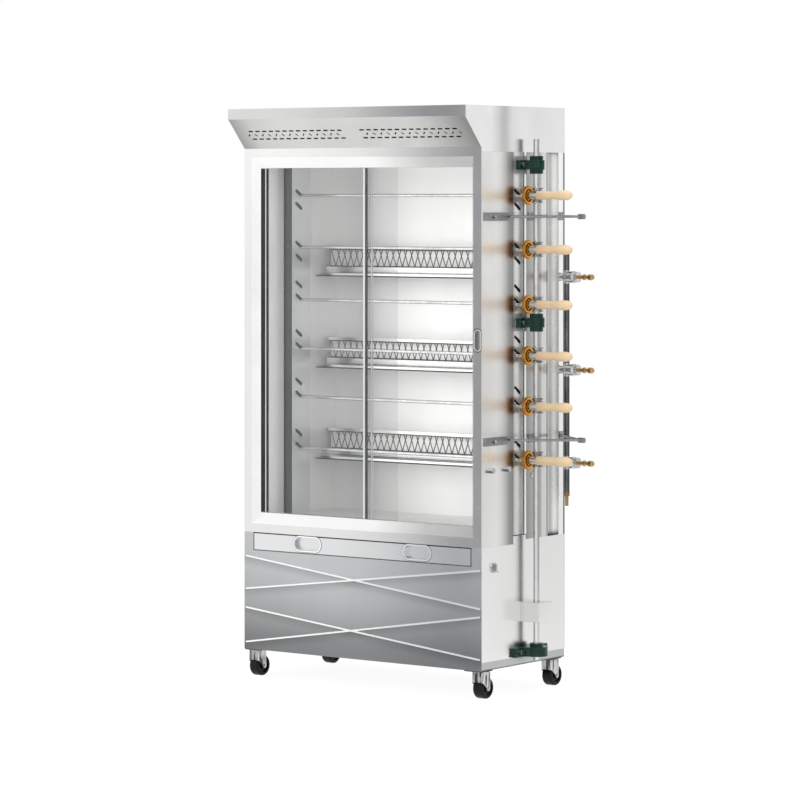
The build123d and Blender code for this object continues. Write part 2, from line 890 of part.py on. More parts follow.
# Gas manifold: standpipe, wall stubs, feed tubes with elbows, valve bodies
pipe_top_z = valve_levels[-1] + pipe_top_rise
pipe_bottom_z = valve_levels[0] - pipe_bottom_drop
valve_start_x = right_x + stub_length
valve_end_x = valve_start_x + valve_length
with BuildPart() as gas_manifold:
    rod_z(pipe_x, pipe_y, (pipe_bottom_z, pipe_top_z), pipe_radius)
    for valve_z in valve_levels:
        rod_x((right_x, valve_start_x), pipe_y, valve_z, stub_radius)
        rod_x((feed_x, right_x), feed_y, valve_z, feed_radius)
        span_box(
            (feed_x - elbow_half, feed_x + elbow_half),
            (feed_y - feed_radius - feed_wall_gap / 2, feed_y + elbow_half),
            (valve_z - elbow_half, valve_z + elbow_half),
        )
        with Locations(Location((feed_x, feed_y, valve_z), (90, 0, 0))):
            Cylinder(
                feed_radius,
                feed_y - liner_back,
                align=(Align.CENTER, Align.CENTER, Align.MIN),
            )
        with BuildSketch(Plane.XZ.offset(-pipe_y)):
            Polygon(
                (valve_start_x, valve_z),
                (valve_end_x, valve_z),
                (valve_end_x, valve_z + valve_radius),
                (valve_end_x - valve_length / 5, valve_z + valve_radius),
                (valve_end_x - valve_length / 3, valve_z + valve_flare_radius),
                (valve_start_x + valve_length / 4, valve_z + valve_radius),
                (valve_start_x, valve_z + valve_radius),
                align=None,
            )
        revolve(axis=Axis((valve_start_x, pipe_y, valve_z), (1, 0, 0)))
        rod_x(
            (valve_end_x - valve_bore_depth, valve_end_x),
            pipe_y,
            valve_z,
            spindle_radius + shaft_clearance,
            Mode.SUBTRACT,
        )
write_node(gas_manifold, "gas_manifold")

# Valve spindles: stem, narrow neck with a ring, rounded end with a screwdriver slot
spindle_end_x = right_x + valve_reach
for index, valve_z in enumerate(reversed(valve_levels), 1):
    seat_x = valve_end_x - valve_bore_depth + shaft_clearance
    reach = spindle_end_x - valve_end_x
    with BuildPart() as valve_spindle:
        with BuildSketch(Plane.XZ.offset(-pipe_y)):
            Polygon(
                (seat_x, valve_z),
                (spindle_end_x, valve_z),
                (spindle_end_x, valve_z + spindle_ring_radius * 0.6),
                (spindle_end_x - 0.1 * reach, valve_z + spindle_ring_radius),
                (spindle_end_x - 0.32 * reach, valve_z + spindle_ring_radius),
                (spindle_end_x - 0.4 * reach, valve_z + spindle_radius * 0.8),
                (spindle_end_x - 0.52 * reach, valve_z + spindle_radius),
                (spindle_end_x - 0.56 * reach, valve_z + spindle_ring_radius),
                (spindle_end_x - 0.66 * reach, valve_z + spindle_ring_radius),
                (spindle_end_x - 0.7 * reach, valve_z + spindle_radius),
                (seat_x, valve_z + spindle_radius),
                align=None,
            )
        revolve(axis=Axis((seat_x, pipe_y, valve_z), (1, 0, 0)))
        span_box(
            (spindle_end_x - spindle_radius / 3, spindle_end_x),
            (pipe_y - spindle_ring_radius, pipe_y + spindle_ring_radius),
            (valve_z - spindle_radius / 6, valve_z + spindle_radius / 6),
            Mode.SUBTRACT,
        )
    write_node(valve_spindle, f"valve_spindle_{index}")

# Hose tail under the standpipe
tail_bottom_z = pipe_bottom_z - tail_length
with BuildPart() as hose_tail:
    with BuildSketch(Plane.XY.offset(pipe_bottom_z - tail_collar_length)):
        with Locations((pipe_x, pipe_y)):
            RegularPolygon(tail_collar_radius, 6)
    extrude(amount=tail_collar_length)
    rod_z(pipe_x, pipe_y, (tail_bottom_z, pipe_bottom_z - tail_collar_length), tail_radius)
    for groove in range(tail_groove_count):
        groove_z = tail_bottom_z + (2 * groove + 2) * 2 * tail_groove
        with BuildSketch(Plane.XZ.offset(-pipe_y)):
            with Locations((pipe_x + tail_radius, groove_z)):
                Rectangle(2 * tail_groove, 2 * tail_groove)
        revolve(axis=Axis((pipe_x, pipe_y, 0), (0, 0, 1)), mode=Mode.SUBTRACT)
write_node(hose_tail, "hose_tail")

# Pillow-block bearings on the side of the casing; the lowest is a larger one
foot_top_x = right_x + bearing_foot_thickness
hub_half = bearing_hub_length / 2
bearing_sizes = [
    (bearing_foot_length, bearing_bolt_spacing, bearing_ring_radius, (hub_half, hub_half)),
    (bearing_foot_length, bearing_bolt_spacing, bearing_ring_radius, (hub_half, hub_half)),
    (foot_bearing_length, foot_bearing_spacing, foot_bearing_ring, foot_bearing_hub),
]
with BuildPart() as bearing_housings:
    for bearing_z, (foot_length, spacing, ring_radius, hub) in zip(bearing_levels, bearing_sizes):
        with BuildSketch(Plane.XY.offset(bearing_z - bearing_foot_width / 2)):
            with Locations((shaft_x, shaft_y)):
                Circle(ring_radius)
            Polygon(
                (right_x, shaft_y - foot_length / 2),
                (foot_top_x, shaft_y - foot_length / 2),
                (foot_top_x, shaft_y - foot_length / 4),
                (shaft_x, shaft_y - ring_radius),
                (shaft_x, shaft_y + ring_radius),
                (foot_top_x, shaft_y + foot_length / 4),
                (foot_top_x, shaft_y + foot_length / 2),
                (right_x, shaft_y + foot_length / 2),
                align=None,
            )
            Polygon(
                (right_x, shaft_y - foot_length / 2),
                (right_x, shaft_y + foot_length / 2),
                (right_x - ring_radius, shaft_y + foot_length / 2),
                (right_x - ring_radius, shaft_y - foot_length / 2),
                align=None,
                mode=Mode.SUBTRACT,
            )
        extrude(amount=bearing_foot_width)
        hub_range = (bearing_z - hub[0], bearing_z + hub[1])
        rod_z(shaft_x, shaft_y, hub_range, bearing_hub_radius)
        rod_z(shaft_x, shaft_y, hub_range, shaft_radius + shaft_clearance, Mode.SUBTRACT)
        for bolt_y in (shaft_y - spacing / 2, shaft_y + spacing / 2):
            rod_x(
                (right_x, foot_top_x),
                bolt_y,
                bearing_z,
                bolt_radius + bolt_clearance,
                Mode.SUBTRACT,
            )
write_node(bearing_housings, "bearing_housings")

# Guard stays: two rods that meet in front of each end of the shaft, with wall plates
stay_levels = (spit_levels[0] - stay_top_drop, spit_levels[-1] + stay_bottom_rise)
stay_tip_x = right_x + stay_reach
stay_apex_x = stay_tip_x - stay_nut_length / 2
stay_foot_x = right_x + stay_plate_thickness / 2
stay_rear_y = body_depth - stay_rear_inset
stay_plate_rear = tuple(body_depth - inset for inset in stay_plate_insets)
with BuildPart() as guard_stays:
    for stay_z in stay_levels:
        for plate_y in (stay_plate_front, stay_plate_middle, stay_plate_rear):
            span_box(
                (right_x, right_x + stay_plate_thickness),
                (front_y + plate_y[0], front_y + plate_y[1]),
                (stay_z - stay_plate_height / 2, stay_z + stay_plate_height / 2),
            )
        for foot_y in (stay_front_y, stay_rear_y):
            run_x = stay_apex_x - stay_foot_x
            run_y = stay_apex_y - foot_y
            with BuildSketch(
                Plane(
                    origin=(stay_foot_x, front_y + foot_y, stay_z),
                    x_dir=(0, 0, 1),
                    z_dir=(run_x, run_y, 0),
                )
            ):
                Circle(stay_rod_radius)
            extrude(amount=hypot(run_x, run_y))
        span_box(
            (right_x - stay_nut_length, right_x),
            (front_y + stay_plate_front[0], front_y + stay_plate_rear[1]),
            (stay_z - stay_plate_height / 2, stay_z + stay_plate_height / 2),
            Mode.SUBTRACT,
        )
        rod_x(
            (stay_tip_x - stay_nut_length, stay_tip_x),
            front_y + stay_apex_y,
            stay_z,
            stay_nut_radius,
        )
write_node(guard_stays, "guard_stays")

# Fasteners: bearing bolts, stay bolts, studs and the round plug
stud_z = base_top_z + stud_rise
plug_z = base_top_z + plug_rise
with BuildPart() as fasteners:
    for bearing_z, (foot_length, spacing, ring_radius, hub) in zip(bearing_levels, bearing_sizes):
        for bolt_y in (shaft_y - spacing / 2, shaft_y + spacing / 2):
            rod_x((right_x, foot_top_x), bolt_y, bearing_z, bolt_radius)
            with BuildSketch(Plane.YZ.offset(foot_top_x)):
                with Locations((bolt_y, bearing_z)):
                    RegularPolygon(bolt_head_radius, 6)
            extrude(amount=bolt_head_height)
    for stay_z in stay_levels:
        with BuildSketch(Plane.YZ.offset(right_x + stay_plate_thickness)):
            with Locations((front_y + stay_bolt_y, stay_z)):
                RegularPolygon(stay_bolt_radius, 6)
        extrude(amount=stay_bolt_height)
    with BuildSketch(Plane.YZ.offset(right_x)):
        with Locations([(front_y + stud_y, stud_z) for stud_y in stud_ys]):
            RegularPolygon(stud_radius, 6)
    extrude(amount=stud_height)
    with BuildSketch(Plane.YZ.offset(right_x)):
        with Locations((front_y + plug_y, plug_z)):
            Circle(plug_radius)
    extrude(amount=plug_height, taper=30)
write_node(fasteners, "fasteners")

# Hood shell: roof, fascia, slanted cheeks and back
with BuildPart() as hood_shell:
    hood_outline = (
        (shell_front, hood_seam_z),
        (shell_front, header_top_z),
        (front_y, header_top_z),
        (front_y - hood_overhang, fascia_z),
        (front_y - hood_overhang, top_z),
        (back_y, top_z),
        (back_y, hood_seam_z),
    )
    with BuildSketch(Plane.YZ.offset(left_x)):
        Polygon(*hood_outline, align=None)
    extrude(amount=sheet)
    with BuildSketch(Plane.YZ.offset(right_x)):
        Polygon(*hood_outline, align=None)
    extrude(amount=-sheet)
    span_box((left_x, right_x), (front_y - hood_overhang, back_y), (top_z - sheet, top_z))
    span_box(
        (left_x, right_x),
        (front_y - hood_overhang, front_y - hood_overhang + sheet),
        (fascia_z, top_z),
    )
    span_box((left_x, right_x), (shell_back, back_y), (hood_seam_z, top_z))
write_node(hood_shell, "hood_shell")

# Slanted vent panel between the cheeks, with two groups of slots in three rows
slant_height = fascia_z - header_top_z
slant_length = hypot(hood_overhang, slant_height)
inward_y = sheet * slant_height / slant_length
inward_z = sheet * hood_overhang / slant_length
foot_shift = inward_y + inward_z * hood_overhang / slant_height
vent_reach = cabinet_width / 2 - vent_edge_margin
vent_pitch = (vent_reach - vent_middle_margin) / (vent_columns - 1)
vent_group_offset = (vent_reach + vent_middle_margin) / 2
vent_plane = Plane(
    origin=(centre_x, front_y, header_top_z),
    x_dir=(1, 0, 0),
    z_dir=(0, -slant_height, -hood_overhang),
)
with BuildPart() as hood_vent_panel:
    with BuildSketch(Plane.YZ.offset(shell_left)):
        Polygon(
            (front_y, header_top_z),
            (front_y - hood_overhang, fascia_z),
            (front_y - hood_overhang + foot_shift, fascia_z),
            (front_y + foot_shift, header_top_z),
            align=None,
        )
    extrude(amount=shell_right - shell_left)
    for side in (-1, 1):
        for row_up in (vent_top_row, vent_top_row - 2 * vent_row_gap):
            with BuildSketch(vent_plane):
                with Locations((side * vent_group_offset, row_up)):
                    with GridLocations(vent_pitch, vent_pitch, vent_columns, 1):
                        SlotOverall(vent_length, vent_width)
            extrude(amount=2 * sheet, both=True, mode=Mode.SUBTRACT)
        middle_x = side * (vent_group_offset + vent_pitch / 2)
        for turn, shift in ((cross_angle, -vent_pitch / 2), (-cross_angle, vent_pitch / 2)):
            with BuildSketch(vent_plane):
                with Locations((middle_x + shift, vent_top_row - vent_row_gap)):
                    with GridLocations(2 * vent_pitch, vent_pitch, vent_columns // 2, 1):
                        SlotOverall(cross_length, cross_width, rotation=turn)
            extrude(amount=2 * sheet, both=True, mode=Mode.SUBTRACT)
write_node(hood_vent_panel, "hood_vent_panel")

# Gear motor behind the base right panel
flange_x = shell_right - motor_flange
gearbox_x = flange_x - gearbox_length
motor_x = gearbox_x - motor_length
flange_half = gearbox_size / 2 + motor_flange_margin
with BuildPart() as gear_motor:
    span_box(
        (flange_x, shell_right),
        (shaft_y - flange_half, shaft_y + flange_half),
        (bevel_apex_z - gearbox_size / 2, bevel_apex_z + gearbox_size / 2),
    )
    span_box(
        (gearbox_x, flange_x),
        (shaft_y - gearbox_size / 2, shaft_y + gearbox_size / 2),
        (bevel_apex_z - gearbox_size / 2, bevel_apex_z + gearbox_size / 2),
    )
    rod_x((motor_x + motor_cap_length, gearbox_x), shaft_y, bevel_apex_z, motor_radius)
    rod_x((motor_x, motor_x + motor_cap_length), shaft_y, bevel_apex_z, motor_radius * 0.9)
    rod_x(
        (shell_right - motor_shaft_engagement - motor_flange, shell_right),
        shaft_y,
        bevel_apex_z,
        motor_shaft_radius + shaft_clearance,
        Mode.SUBTRACT,
    )
write_node(gear_motor, "gear_motor")

# Cover box over the bevel pair, open towards the casing
cover_bottom_z = bevel_apex_z - cover_bottom_drop
cover_top_z = bevel_apex_z + cover_top_rise
cover_end_x = right_x + cover_reach
cover_front_y = shaft_y - cover_width / 2
cover_back_y = shaft_y + cover_width / 2
with BuildPart() as gearbox_cover:
    span_box(
        (right_x, cover_end_x),
        (cover_front_y, cover_back_y),
        (cover_bottom_z, cover_top_z),
    )
    fillet(gearbox_cover.edges().filter_by(Axis.Z).group_by(Axis.X)[-1], 2 * sheet)
    span_box(
        (right_x, right_x + sheet),
        (cover_front_y - cover_lip, cover_back_y + cover_lip),
        (cover_bottom_z, cover_top_z),
    )
    span_box(
        (right_x, cover_end_x - sheet),
        (cover_front_y + sheet, cover_back_y - sheet),
        (cover_bottom_z + sheet, cover_top_z - sheet),
        Mode.SUBTRACT,
    )
    rod_z(
        shaft_x,
        shaft_y,
        (cover_bottom_z, cover_top_z),
        shaft_radius + cover_hole_gap,
        Mode.SUBTRACT,
    )
write_node(gearbox_cover, "gearbox_cover")

# Cable gland under the base, for the motor's supply
gland_bottom_z = caster_height - gland_flange_height - gland_dome_height
gland_top_z = pad_top_z + gland_flange_height
with BuildPart() as cable_gland:
    rod_z(gland_x, gland_y, (gland_bottom_z, gland_top_z), gland_barrel_radius)
    for nut_z in (caster_height - gland_flange_height, pad_top_z):
        with BuildSketch(Plane.XY.offset(nut_z)):
            with Locations((gland_x, gland_y)):
                RegularPolygon(gland_flange_radius, 6)
        extrude(amount=gland_flange_height)
    rod_z(
        gland_x,
        gland_y,
        (gland_bottom_z, caster_height - gland_flange_height),
        gland_dome_radius,
    )
    chamfer(
        cable_gland.faces().sort_by(Axis.Z)[0].edges(),
        gland_dome_radius / 6,
    )
    rod_z(gland_x, gland_y, (gland_bottom_z, gland_top_z), gland_bore_radius, Mode.SUBTRACT)
write_node(cable_gland, "cable_gland")

# Spits: rod with collar, ferrule and tang; worm wheel; turned handle
gear_start_x = shaft_x - gear_face / 2
gear_end_x = shaft_x + gear_face / 2
handle_start_x = gear_end_x + ferrule_length
handle_end_x = handle_start_x + handle_length
rod_start_x = liner_left + spit_end_gap
tooth_embed = gear_root_clearance / 2

with BuildPart() as gear_blank:
    with BuildSketch(Plane.YZ.offset(-gear_face / 2)):
        Circle(gear_root_radius)
        with PolarLocations(0, gear_teeth):
            Polygon(
                (gear_root_radius - tooth_embed, -tooth_root_width / 2),
                (gear_tip_radius, -tooth_tip_width / 2),
                (gear_tip_radius, tooth_tip_width / 2),
                (gear_root_radius - tooth_embed, tooth_root_width / 2),
                align=None,
            )
    extrude(amount=gear_face)
    with BuildSketch(Plane.XZ):
        Polygon(
            (gear_face / 2 - gear_dish_depth, gear_hub_radius),
            (gear_face / 2 - gear_dish_depth, gear_hub_radius + gear_dish_depth),
            (gear_face / 2, gear_dish_radius),
            (gear_face / 2, gear_hub_radius),
            align=None,
        )
    revolve(axis=Axis.X, mode=Mode.SUBTRACT)
    rod_x((-gear_face / 2, gear_face / 2), 0, 0, spit_radius, Mode.SUBTRACT)

for index, level in enumerate(spit_levels, 1):
    with BuildPart() as spit_rod:
        rod_x((rod_start_x, handle_start_x), spit_axis_y, level, spit_radius)
        chamfer(spit_rod.faces().sort_by(Axis.X)[0].edges(), spit_radius / 2)
        rod_x((gear_start_x - collar_length, gear_start_x), spit_axis_y, level, collar_radius)
        rod_x((gear_end_x, handle_start_x), spit_axis_y, level, ferrule_radius)
        rod_x((handle_start_x, handle_start_x + tang_length), spit_axis_y, level, tang_radius)
    write_node(spit_rod, f"spit_{index}_rod")

    with BuildPart() as spit_gear:
        with Locations((shaft_x, spit_axis_y, level)):
            add(gear_blank.part)
    write_node(spit_gear, f"spit_{index}_gear")

    with BuildPart() as spit_handle:
        with BuildSketch(Plane.XZ.offset(-spit_axis_y)):
            with BuildLine():
                Polyline(
                    (handle_end_x, level),
                    (handle_start_x, level),
                    (handle_start_x, level + handle_end_radius),
                )
                Spline(
                    (handle_start_x, level + handle_end_radius),
                    (handle_start_x + 0.2 * handle_length, level + handle_end_radius),
                    (handle_start_x + 0.45 * handle_length, level + handle_waist_radius),
                    (handle_start_x + 0.84 * handle_length, level + handle_bulge_radius),
                    (handle_start_x + 0.97 * handle_length, level + 0.6 * handle_bulge_radius),
                    (handle_end_x, level),
                    tangents=((1, 0), (0, -1)),
                )
            make_face()
        revolve(axis=Axis((handle_start_x, spit_axis_y, level), (1, 0, 0)))
        rod_x(
            (handle_start_x, handle_start_x + tang_length),
            spit_axis_y,
            level,
            tang_radius,
            Mode.SUBTRACT,
        )
    write_node(spit_handle, f"spit_{index}_handle")

# One worm: sleeve with end collars, and a right-hand thread that ends inside them
thread_half = (worm_height - worm_collar_height) / 2
thread_embed = worm_root_clearance / 2
with BuildPart() as worm_thread:
    with BuildLine() as thread_path:
        Helix(
            worm_lead,
            2 * thread_half,
            worm_root_radius,
            center=(0, 0, -thread_half),
        )
    with BuildSketch(Plane.XZ):
        Polygon(
            (worm_root_radius - thread_embed, -thread_half - thread_root_width / 2),
            (worm_crest_radius, -thread_half - thread_crest_width / 2),
            (worm_crest_radius, -thread_half + thread_crest_width / 2),
            (worm_root_radius - thread_embed, -thread_half + thread_root_width / 2),
            align=None,
        )
    sweep(path=thread_path.line, is_frenet=True)

with BuildPart() as worm:
    rod_z(0, 0, (-worm_height / 2, worm_height / 2), worm_root_radius)
    add(worm_thread.part)
    for collar_z in (-worm_height / 2, worm_height / 2 - worm_collar_height):
        rod_z(
            0,
            0,
            (collar_z, collar_z + worm_collar_height),
            worm_crest_radius + worm_collar_rise,
        )
    rod_z(0, 0, (-worm_height / 2, worm_height / 2), shaft_radius, Mode.SUBTRACT)

# The thread lies half a lead above and below each wheel's tooth that faces the shaft
spit_side = -90.0
worm_turn = spit_side - 180 - 360 * thread_half / worm_lead
with BuildPart() as drive_worms:
    with Locations([Location((shaft_x, shaft_y, level), (0, 0, worm_turn)) for level in spit_levels]):
        add(worm.part)
write_node(drive_worms, "drive_worms")

# Mitre bevel gear with its apex at the origin and its body below
large_end = bevel_pitch_radius
small_end = bevel_pitch_radius - bevel_face * cos(radians(45))
root_shift = bevel_dedendum * cos(radians(45))
back_z = -large_end - root_shift - bevel_back
with BuildPart() as bevel_tooth:
    for end in (large_end, small_end):
        scale_share = end / large_end
        with BuildSketch(Plane(origin=(end, 0, -end), x_dir=(0, 1, 0), z_dir=(-1, 0, 1))):
            Polygon(
                (-bevel_root_width / 2 * scale_share, bevel_dedendum + gear_root_clearance / 2),
                (bevel_root_width / 2 * scale_share, bevel_dedendum + gear_root_clearance / 2),
                (bevel_tip_width / 2 * scale_share, -bevel_addendum),
                (-bevel_tip_width / 2 * scale_share, -bevel_addendum),
                align=None,
            )
    loft()

with BuildPart() as bevel_gear:
    with BuildSketch(Plane.XZ):
        Polygon(
            (0, -small_end - root_shift),
            (small_end - root_shift, -small_end - root_shift),
            (large_end - root_shift, -large_end - root_shift),
            (large_end - root_shift, back_z),
            (0, back_z),
            align=None,
        )
    revolve(axis=Axis.Z)
    with PolarLocations(0, bevel_teeth):
        add(bevel_tooth.part)

# Drive shaft with its bevel gear
with BuildPart() as drive_shaft:
    with Locations((shaft_x, shaft_y, bevel_apex_z)):
        add(bevel_gear.part)
    rod_z(shaft_x, shaft_y, (shaft_bottom_z, shaft_top_z), shaft_radius)
    chamfer(drive_shaft.faces().sort_by(Axis.Z)[-1].edges(), shaft_clearance * 20)
write_node(drive_shaft, "drive_shaft")

# Motor output shaft with the mating pinion, turned half a tooth
with BuildPart() as motor_gear:
    with Locations(
        Location((shaft_x, shaft_y, bevel_apex_z), (0, 90, 180 / bevel_teeth))
    ):
        add(bevel_gear.part)
    rod_x(
        (shell_right - motor_shaft_engagement, shaft_x + back_z + bevel_back),
        shaft_y,
        bevel_apex_z,
        motor_shaft_radius,
    )
write_node(motor_gear, "motor_gear")

# Grease drawer: face with two cup pulls, tray behind it
tray_top_z = tray_bottom_z + drawer_tray_height
cup_z = drawer_bottom_z + cup_rise
with BuildPart() as grease_drawer:
    span_box(
        (cutout_left + drawer_gap, cutout_right - drawer_gap),
        (front_y, front_y + drawer_face),
        (face_bottom_z, face_top_z),
    )
    span_box(
        (tray_left, tray_right),
        (front_y + drawer_face, front_y + drawer_depth),
        (tray_bottom_z, tray_top_z),
    )
    span_box(
        (tray_left + sheet, tray_right - sheet),
        (front_y + drawer_face, front_y + drawer_depth - sheet),
        (tray_bottom_z + sheet, tray_top_z),
        Mode.SUBTRACT,
    )
    with BuildSketch(Plane.XZ.offset(-front_y)):
        with Locations([(centre_x + cup_x, cup_z) for cup_x in cup_xs]):
            SlotOverall(cup_width, cup_height)
    extrude(amount=rim_proud)
    with BuildSketch(Plane.XZ.offset(-front_y - drawer_face)):
        with Locations([(centre_x + cup_x, cup_z) for cup_x in cup_xs]):
            SlotOverall(cup_width - 2 * cup_rim + 2 * sheet, cup_height - 2 * cup_rim + 2 * sheet)
    extrude(amount=-(cup_depth + sheet - drawer_face))
    with BuildSketch(Plane.XZ.offset(rim_proud - front_y)):
        with Locations([(centre_x + cup_x, cup_z) for cup_x in cup_xs]):
            SlotOverall(cup_width - 2 * cup_rim, cup_height - 2 * cup_rim)
    extrude(amount=-(cup_depth + rim_proud), mode=Mode.SUBTRACT)
write_node(grease_drawer, "grease_drawer")

# Quarter-turn latch: disc, grip, thin tail, spindle and inner cam
latch_top_x = right_x + latch_disc
cam_x = shell_right - latch_cam[2]
with BuildPart() as panel_latch:
    rod_x((right_x, latch_top_x), latch_axis_y, latch_z, latch_radius)
    chamfer(panel_latch.faces().sort_by(Axis.X)[-1].edges(), latch_disc / 3)
    grip_length, grip_width, grip_height = latch_grip
    span_box(
        (latch_top_x, latch_top_x + grip_height),
        (latch_axis_y - grip_width / 2, latch_axis_y + grip_width / 2),
        (latch_z - grip_length / 2, latch_z + grip_length / 2),
    )
    tail_reach, tail_width, tail_thickness = latch_tail
    with BuildSketch(Plane.YZ.offset(latch_top_x)):
        with Locations((latch_axis_y + tail_reach / 2 * 0.8, latch_z - tail_reach / 2 * 0.6)):
            Rectangle(tail_reach, tail_width, rotation=-degrees(atan2(0.6, 0.8)))
    extrude(amount=tail_thickness)
    rod_x((cam_x, right_x), latch_axis_y, latch_z, latch_spindle_radius)
    cam_length, cam_width, cam_thickness = latch_cam
    span_box(
        (cam_x, cam_x + cam_thickness),
        (latch_axis_y - cam_width / 2, latch_axis_y + cam_width / 2),
        (latch_z - cam_length / 2, latch_z + cam_length / 2),
    )
write_node(panel_latch, "panel_latch")

# Casters: hooded fork with stem, race and axle; wheel behind the king pin
race_top_z = pad_bottom_z - stem_gap
fork_top_z = race_top_z - fork_race
skirt_bottom_z = fork_top_z - fork_skirt
skirt_half = sqrt(wheel_radius**2 - (skirt_bottom_z - wheel_radius) ** 2)
cheek_inner = wheel_width / 2 + wheel_gap
cheek_outer = cheek_inner + fork_cheek
for row, king_y in caster_ys.items():
    for side, king_x in caster_xs.items():
        axle_y = king_y + caster_trail
        fork_front_y = axle_y - skirt_half - fork_tyre_gap - fork_cheek
        fork_back_y = axle_y + 2 * axle_radius
        with BuildPart() as caster_fork:
            with BuildSketch(Plane.YZ.offset(king_x - cheek_outer)):
                Polygon(
                    (fork_front_y, skirt_bottom_z),
                    (fork_front_y, fork_top_z),
                    (fork_back_y, fork_top_z),
                    (fork_back_y, wheel_radius),
                    (axle_y - 2 * axle_radius, wheel_radius),
                    align=None,
                )
                with Locations((axle_y, wheel_radius)):
                    Circle(2 * axle_radius)
            extrude(amount=2 * cheek_outer)
            front_edges = caster_fork.edges().filter_by(Axis.Z).sort_by(Axis.Y)[:2]
            fillet(front_edges, fork_corner)
            span_box(
                (king_x - cheek_inner, king_x + cheek_inner),
                (fork_front_y + fork_cheek, fork_back_y),
                (0, fork_top_z - fork_bridge),
                Mode.SUBTRACT,
            )
            rod_z(king_x, king_y, (fork_top_z, race_top_z), crown_radius)
            rod_z(king_x, king_y, (fork_top_z, pad_top_z - stem_gap), stem_radius)
            rod_x(
                (king_x - cheek_outer - fork_cheek, king_x + cheek_outer + fork_cheek),
                axle_y,
                wheel_radius,
                axle_radius,
            )
        write_node(caster_fork, f"caster_{row}_{side}_fork")

        with BuildPart() as caster_wheel:
            rod_x(
                (king_x - wheel_width / 2, king_x + wheel_width / 2),
                axle_y,
                wheel_radius,
                wheel_radius,
            )
            fillet(caster_wheel.edges().filter_by(GeomType.CIRCLE), wheel_width / 6)
            for face_x, depth in (
                (king_x - wheel_width / 2, wheel_width / 8),
                (king_x + wheel_width / 2, -wheel_width / 8),
            ):
                with BuildSketch(Plane.YZ.offset(face_x)):
                    with Locations((axle_y, wheel_radius)):
                        Circle(wheel_radius * 0.68)
                        Circle(3 * axle_radius, mode=Mode.SUBTRACT)
                extrude(amount=depth, mode=Mode.SUBTRACT)
            rod_x(
                (king_x - wheel_width / 2, king_x + wheel_width / 2),
                axle_y,
                wheel_radius,
                axle_radius + shaft_clearance,
                Mode.SUBTRACT,
            )
        write_node(caster_wheel, f"caster_{row}_{side}_wheel")
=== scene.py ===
import math

import bmesh
import bpy
import numpy as np
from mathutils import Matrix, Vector


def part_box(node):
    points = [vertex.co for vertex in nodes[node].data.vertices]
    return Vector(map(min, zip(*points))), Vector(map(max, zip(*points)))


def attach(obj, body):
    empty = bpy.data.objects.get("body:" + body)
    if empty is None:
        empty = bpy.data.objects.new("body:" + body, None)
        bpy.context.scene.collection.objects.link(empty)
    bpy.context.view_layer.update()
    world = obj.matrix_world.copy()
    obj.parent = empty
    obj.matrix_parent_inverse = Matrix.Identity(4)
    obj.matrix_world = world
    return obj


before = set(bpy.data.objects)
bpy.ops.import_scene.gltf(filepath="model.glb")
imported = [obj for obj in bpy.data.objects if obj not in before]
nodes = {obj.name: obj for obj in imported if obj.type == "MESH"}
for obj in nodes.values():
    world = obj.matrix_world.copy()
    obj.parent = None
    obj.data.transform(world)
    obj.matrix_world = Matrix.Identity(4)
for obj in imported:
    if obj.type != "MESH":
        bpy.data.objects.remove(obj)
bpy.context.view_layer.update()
print("frame loaded:", len(nodes), "nodes")

scene = bpy.context.scene
scene.view_settings.view_transform = "Standard"

# ---------- camera, lamps, world and floor

viewpoint = {"place": (6.3479, -8.5605, 1.4757), "turn": 36.886, "lens": 157.8, "shiftY": -0.2519}
cameraData = bpy.data.cameras.new("viewCamera")
cameraData.lens = viewpoint["lens"]
cameraData.sensor_width = 36.0
cameraData.shift_y = viewpoint["shiftY"]
cameraData.clip_end = 100.0
camera = bpy.data.objects.new("viewCamera", cameraData)
camera.location = viewpoint["place"]
camera.rotation_euler = (math.radians(90), 0, math.radians(viewpoint["turn"]))
scene.collection.objects.link(camera)
scene.camera = camera

lamps = {
    "keyLamp": {
        "place": (-3.6, -5.6, 3.4), "aim": (-0.05, 0.0, 0.9), "size": (3.2, 2.6), "power": 170.0,
        "mirrored": False
    },
    "fillLamp": {
        "place": (5.2, -1.8, 3.0), "aim": (-0.05, 0.0, 0.9), "size": (2.6, 2.6), "power": 90.0,
        "mirrored": False
    },
    "topLamp": {
        "place": (0.4, 0.6, 5.0), "aim": (-0.05, 0.0, 0.9), "size": (3.0, 3.0), "power": 80.0,
        "mirrored": False
    },
    "chamberLamp": {
        "place": (-0.094, -0.116, 1.038), "aim": (-0.094, 0.2, 1.038), "size": (0.79, 1.05), "power": 2.05,
        "mirrored": True
    },
}
for lampName, lamp in lamps.items():
    lampData = bpy.data.lights.new(lampName, "AREA")
    lampData.shape = "RECTANGLE"
    lampData.size, lampData.size_y = lamp["size"]
    lampData.energy = lamp["power"]
    lampObject = bpy.data.objects.new(lampName, lampData)
    lampObject.location = lamp["place"]
    toAim = Vector(lamp["aim"]) - Vector(lamp["place"])
    lampObject.rotation_euler = toAim.to_track_quat("-Z", "Y").to_euler()
    lampObject.visible_camera = False
    lampObject.visible_glossy = lamp["mirrored"]
    scene.collection.objects.link(lampObject)


def addNode(tree, kind, values=None, **settings):
    # one shader node: settings are its properties, values its inputs, each a number or a socket to link
    node = tree.nodes.new("ShaderNode" + kind)
    for key, value in settings.items():
        setattr(node, key, value)
    for key, value in (values or {}).items():
        if isinstance(value, bpy.types.NodeSocket):
            tree.links.new(value, node.inputs[key])
        else:
            node.inputs[key].default_value = value
    return node


def mathOf(tree, operation, first, second=0.0, clamp=False):
    return addNode(tree, "Math", {0: first, 1: second}, operation=operation, use_clamp=clamp).outputs[0]


def spread(tree, value, low, high, fromLow=0.0, fromHigh=1.0):
    values = {"Value": value, "From Min": fromLow, "From Max": fromHigh, "To Min": low, "To Max": high}
    return addNode(tree, "MapRange", values).outputs[0]


